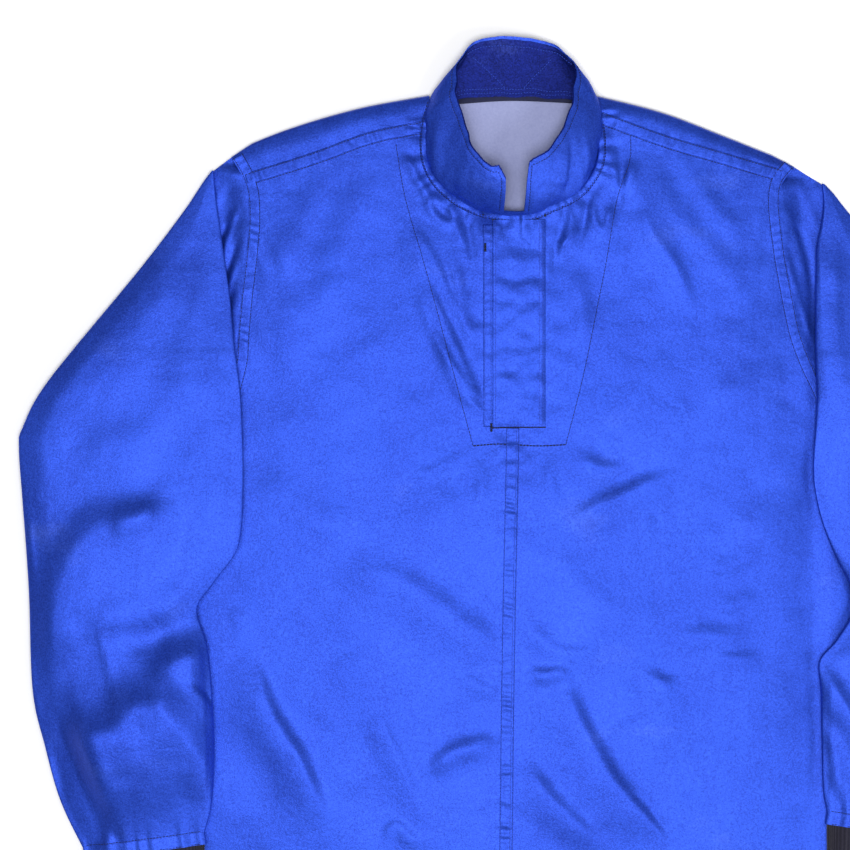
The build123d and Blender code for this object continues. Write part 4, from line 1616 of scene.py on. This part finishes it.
    def head(self) -> bpy.types.Object:
        """Builds the sleeve head: the cloth from the armhole seam that dips under the tube's folded edge.

        Returns:
            The sleeve head.
        """
        way, arm = self.side.value, self.lay.armhole(self.side)
        tip = self.inner[0]
        under = [(tip[0] + way * 21, tip[1] - 38), (tip[0] + way * 48, tip[1] - 94),
                 (tip[0] + way * 50, tip[1] - 145),
                 (way * (self.lay.half - 3), self.lay.pit + 6)]
        run = [tuple(p) for p in arm.xy] + under[::-1] + [tip]
        outline = np.array(run)
        folds = [Fold([(way * x, y) for x, y in line], h * self.creased, w, w, 0.25) for line, h, w in (
            (((218, -84), (228, -112), (236, -150)), 2.3, 2.6),
            (((222, -96), (236, -120), (243, -160)), -2.4, 2.6),
            (((217, -108), (226, -136), (236, -180)), -2.2, 2.4),
            (((219, -128), (230, -158), (240, -200)), 2.3, 2.4),
            (((222, -150), (232, -180), (243, -215)), -2.2, 2.4),
            (((228, -66), (240, -90), (246, -112)), 1.0, 4.0))]
        folds.append(Crumple(61, 9.0, 0.8 * self.creased, 2.2, 70.0 * way))

        def height(xy: Plan) -> np.ndarray:
            """Height of the sleeve head.

            Args:
                xy: Points on the plan.

            Returns:
                One height for each point.
            """
            s, d = arm.locate(xy, 200.0)
            away = np.abs(d)
            seam = self.relief(arm.at(s)) + 0.4
            drop = np.clip(away / self.dive, 0, 1)
            z = seam + (1.6 - seam) * drop * drop * (3 - 2 * drop)
            brow = np.clip((self.inner[0][1] + 6 - xy[:, 1]) / 9.0, 0.12, 1)
            return np.maximum(z * np.sqrt(brow) + sum(f.at(xy) for f in folds) * np.clip(away / 5, 0, 1),
                              1.2)

        name = f"{self.side.label}_sleeve_head"
        piece = Bench.cut_sheet(name, outline, 2.0, height, [self.finishes.satin, self.finishes.reverse])
        return Bench.thicken(piece, inner=1)

    def end_ring(self, name: str, start: float, length: float, shrink: float, thick: float,
                 material: bpy.types.Material, ribs: int = 0) -> bpy.types.Object:
        """Builds a flattened ring that follows on from the tube's end.

        Args:
            name: Name of the piece.
            start: Where it starts past the tube's end.
            length: Its length.
            shrink: How much each edge draws in over its length.
            thick: Its cloth's thickness.
            material: Its material.
            ribs: Number of knitted ribs around it, or none.

        Returns:
            The ring.
        """
        y_end = self.inner[-1][1]
        x_in, x_out = (float(v[0]) for v in self.edges(np.array([y_end])))
        columns = ribs * 6 if ribs else 160
        bm = Bench.grid(columns, max(int(length / 2.0), 4))
        uv = Bench.places(bm)
        turn, run = 2 * math.pi * uv[:, 0], start + length * uv[:, 1]
        way = self.side.value
        draw = shrink * (uv[:, 1] if ribs else 0 * uv[:, 1]) + (2.0 if ribs else 0.0)
        mid, half = (x_in + x_out) / 2, (abs(x_out - x_in) / 2 - draw)
        side, up = np.cos(turn), np.sin(turn)
        x = mid - way * half * np.sign(side) * np.abs(side) ** 0.9
        body = self.floor(x, np.full(len(x), y_end), np.full(len(x), x_in), np.full(len(x), x_out))
        rib = 0.6 * np.cos(turn * ribs) if ribs else 0.0
        less = 1.0 if ribs else -0.25
        ends = np.full(len(x), x_in), np.full(len(x), x_out)
        lead = self.loft(x, np.full(len(x), y_end), *ends)
        high = self.top(x, np.full(len(x), y_end), *ends, np.abs(up)) - less
        low = body + lead * (0.5 - 0.5 * np.abs(up) ** 0.3) + less
        z = np.where(up >= 0, np.maximum(high, low + 1.2), low) + rib * np.sign(up)
        slant = self.tilt * np.abs(x - x_in)
        lean = 0.16 * run * -way
        Bench.fill(bm, np.column_stack([x + lean, y_end - slant - run, np.maximum(z, 0.7)]))
        Bench.close_tube(bm, 0.010)
        piece = Bench.finish(name, bm, [material, self.finishes.reverse if not ribs else material])
        return Bench.thicken(piece, thick, inner=1)

    def build(self) -> None:
        """Builds the sleeve and hangs its hem band, rib cuff and stitching on its arm."""
        label, arm, way = self.side.label, self.side.arm, self.side.value
        tube, head = self.tube(), self.head()
        tip = self.inner[0]
        (tip[0] - way * 12) * MM
        (tip[1] + 6) * MM
        (tip[0] + way * 22) * MM
        (tip[1] - 52) * MM
        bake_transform(tube)
        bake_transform(head)
        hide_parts(f"{label}_sleeve")
        band = self.end_ring(f"{label}_sleeve_hem", -0.4, 9.5, 0.0, 0.9, self.finishes.satin)
        cuff = self.end_ring(f"{label}_rib_cuff", 7.0, 53.0, 9.0, 1.0, self.finishes.rib, ribs=62)
        for piece, node, slot in ((band, f"{label}_sleeve_hem", "satin_cloth"),
                                  (cuff, f"{label}_rib_cuff", "rib_knit")):
            settle(piece, arm, slot, node)
        y_end = self.inner[-1][1]
        x_in, x_out = (float(v[0]) for v in self.edges(np.array([y_end])))
        x = np.linspace(x_in + way * 3, x_out - way * 3, 12)
        line = Path(np.column_stack([x, y_end + 1.5 - self.tilt * np.abs(x - x_in)]))
        seam = Path(np.column_stack([x, y_end - 8.6 - self.tilt * np.abs(x - x_in)]))

        def top(xy: Plan) -> np.ndarray:
            """Height of the slanting end of the sleeve."""
            back = xy[:, 1] + self.tilt * np.abs(xy[:, 0] - x_in)
            return self.surface(np.column_stack([xy[:, 0], np.clip(back, y_end, 0)]))

        runs = [Bench.laid(line, top, 0.1), Bench.laid(seam, top, 0.3)]
        # Near-black cuff rows: painted shade of the stitch grooves.
        thread = Bench.stitches(f"{label}_cuff_stitches", runs, self.finishes.dark_thread)
        settle(thread, arm, "thread")
        log.info("%s sleeve: tube, head, hem band, rib cuff and stitching", label)


def sleeve_pair(lay: Lay, relief: FrontRelief, finishes: Finishes) -> List[Sleeve]:
    """Describes the two sleeves, which lie differently.

    Args:
        lay: How the smock lies.
        relief: The front's relief.
        finishes: The finishes.

    Returns:
        The wearer's right sleeve, then the left.
    """
    right = Sleeve(Side.RIGHT, lay, relief, finishes,
                   inner=[(-239.5, -60), (-238, -74), (-236, -90), (-232, -118), (-226, -160),
                          (-222, -200), (-217, -240),
                          (-215, -285), (-215, -318), (-216, -343), (-221, -366), (-240, -392),
                          (-252, -412), (-244, -440),
                          (-240, -479), (-238, -521), (-240, -565), (-246, -590)],
                   outer=[(-240.5, -59.8), (-246.5, -67.5), (-252.5, -76.5), (-265, -95), (-300, -141),
                          (-371, -228), (-392, -266), (-395, -282), (-392, -326),
                          (-387, -393), (-384, -467), (-374, -510), (-362, -551), (-343, -592)],
                   dive=24.0, creased=0.7,
                   folds=[Fold([(-368, -460), (-364, -420), (-357, -386), (-343, -359), (-318, -344),
                                (-290, -341), (-256, -350)],
                               7.0, 18, 50, 0.2),
                          Fold([(-322, -342), (-306, -340), (-294, -334), (-280, -336)], 2.2, 8, 12, 0.3),
                          Fold([(-348, -424), (-312, -413), (-276, -409), (-240, -404)], 4.2, 18, 15, 0.3),
                          Fold([(-356, -516), (-332, -506), (-314, -502), (-301, -488), (-286, -487),
                                (-275, -478), (-271, -458),
                                (-261, -451), (-238, -451)], 10.0, 17, 60, 0.12),
                          Fold([(-356, -514), (-328, -504), (-304, -494), (-282, -478), (-264, -466)], 9.0,
                               46, 80, 0.25),
                          Fold([(-352, -442), (-322, -430), (-296, -434), (-262, -420)], -1.4, 11, 12, 0.3),
                          Fold([(-326, -512), (-316, -526), (-308, -548)], -1.2, 9, 10, 0.35),
                          Fold([(-336, -596), (-323, -588), (-309, -595)], 2.2, 4, 6, 0.35),
                          Fold([(-387, -330), (-385, -360), (-381, -392)], 0.7, 3, 3, 0.3),
                          Fold([(-332, -412), (-320, -455), (-307, -500)], 1.1, 2.6, 4, 0.3),
                          Fold([(-256, -460), (-252, -510), (-254, -570)], 2.4, 8, 9, 0.3),
                          Fold([(-265, -120), (-300, -190), (-330, -260)], 2.0, 20, 30, 0.3),
                          Fold([(-250, -140), (-262, -220), (-268, -270)], 1.4, 12, 16, 0.3),
                          Puckers(Path([(-247, -588), (-343, -588)]), 15.0, 0.8, 14.0),
                          Crumple(71, 50.0, 1.5), Crumple(72, 22.0, 0.8, 1.8, 60.0),
                          Crumple(73, 9.0, 0.16)])
    left = Sleeve(Side.LEFT, lay, relief, finishes,
                  inner=[(249, -70.5), (250, -86), (248, -103), (244, -126), (243, -168), (243, -216),
                         (244, -244), (241, -296),
                         (243, -320), (249, -344), (260, -371), (271, -392), (274, -412), (260, -436),
                         (246, -453), (247, -478),
                         (248, -520), (249, -555), (252, -574)],
                  outer=[(250.5, -70.2), (258, -78), (265, -87), (274, -98), (300, -128), (383, -228),
                         (402, -266), (409, -300), (409, -350),
                         (405, -405), (398, -475), (388, -520), (372, -557), (352, -576)],
                  folds=[Fold([(262, -240), (300, -300), (340, -330)], 2.6, 14, 20, 0.3),
                         Fold([(246, -452), (262, -482), (290, -520), (330, -560)], 4.2, 7, 18, 0.2),
                         Fold([(250, -500), (258, -530), (262, -565)], 2.4, 8, 6, 0.3),
                         Fold([(300, -380), (340, -420), (380, -430)], -4.4, 14, 18, 0.3),
                         Fold([(260, -110), (258, -180), (262, -240)], 1.4, 6, 14, 0.3),
                         Fold([(270, -150), (300, -210), (330, -260)], 2.4, 16, 22, 0.3),
                         Puckers(Path([(252, -570), (352, -570)]), 15.0, 0.8, 14.0),
                         Crumple(81, 50.0, 1.5), Crumple(82, 22.0, 0.8, 1.8, 120.0),
                         Crumple(83, 9.0, 0.14)])
    return [right, left]


@dataclass
class Studio:
    """Pale ground, soft overhead light and the camera."""

    centre: Tuple[float, float] = (-69.6, -264.0)
    width: float = 680.0
    distance: float = 2300.0

    def ground(self) -> None:
        """Lays the plain pale floor."""
        bm = bmesh.new()
        bmesh.ops.create_grid(bm, x_segments=1, y_segments=1, size=6.0)
        shader = Shader("pale_ground")
        mottle = shader.noise(3.0, 2.0)
        shader.set(Base_Color=shader.mix(mottle, (0.93, 0.93, 0.93), (0.95, 0.95, 0.95)), Roughness=0.9,
                   Specular_IOR_Level=0.1)
        Bench.finish("ground", bm, [shader.material])

    def lamp(self, name: str, place: Tuple[float, float, float], size: float, power: float) -> None:
        """Hangs one square soft light that looks at the smock.

        Args:
            name: Name of the light.
            place: Where it hangs, in metres.
            size: Its side, in metres.
            power: Its power, in watts.
        """
        data = bpy.data.lights.new(name, "AREA")
        data.shape, data.size, data.energy = "SQUARE", size, power
        lamp = bpy.data.objects.new(name, data)
        lamp.location = place
        aim = Vector((self.centre[0] * MM, self.centre[1] * MM, 0.0)) - Vector(place)
        lamp.rotation_euler = aim.to_track_quat("-Z", "Y").to_euler()
        bpy.context.scene.collection.objects.link(lamp)

    def build(self) -> None:
        """Sets the whole studio."""
        self.ground()
        scene = bpy.context.scene
        scene.view_settings.view_transform = "Standard"
        world = bpy.data.worlds.new("studio")
        world.use_nodes = True
        world.node_tree.nodes["Background"].inputs["Color"].default_value = (1.0, 1.0, 1.0, 1.0)
        world.node_tree.nodes["Background"].inputs["Strength"].default_value = 0.30
        scene.world = world
        self.lamp("overhead", (0.05, -0.62, 2.6), 1.0, 44.5)
        self.lamp("near_fill", (-0.85, -0.40, 2.5), 0.9, 15.0)
        self.lamp("side_fill", (1.5, -1.3, 1.4), 0.9, 26.0)
        data = bpy.data.cameras.new("camera")
        data.sensor_width = 36.0
        data.lens = 36.0 * self.distance / self.width
        data.clip_end = 50.0
        camera = bpy.data.objects.new("camera", data)
        camera.location = (self.centre[0] * MM, self.centre[1] * MM, (self.distance + 12.0) * MM)
        scene.collection.objects.link(camera)
        scene.camera = camera


def dress_buttons(finishes: Finishes) -> None:
    """Gives the carried-over buttons and their thread shanks their materials.

    Args:
        finishes: The finishes.
    """
    for name in frame["nodes"]:
        if name.endswith("_button") or name.endswith("_button_thread"):
            node = bpy.data.objects.get(name)
            material = finishes.button if name.endswith("_button") else finishes.dark_thread
            for slot in node.material_slots:
                slot.material = material


def main() -> None:
    """Builds the smock and its studio."""
    logging.basicConfig(level=logging.INFO, format="%(name)s: %(message)s")
    Studio().build()
    finishes, lay = Finishes(), Lay()
    relief = FrontRelief(lay)
    body = Body(lay, relief, finishes)
    body.build()
    Placket(body).build()
    collar = Collar(lay, relief, finishes)
    collar.build()
    for sleeve in sleeve_pair(lay, relief, finishes):
        sleeve.build()
    for side in Side:
        front = bpy.data.objects[f"{side.label}_front_panel"]
        own = [p for p in body.made if p.name.startswith(side.label) and p is not front]
        shared = [p for p in body.made if not p.name.startswith(("left", "right"))] + collar.extras
    dress_buttons(finishes)


if __name__ == "__main__":
    main()
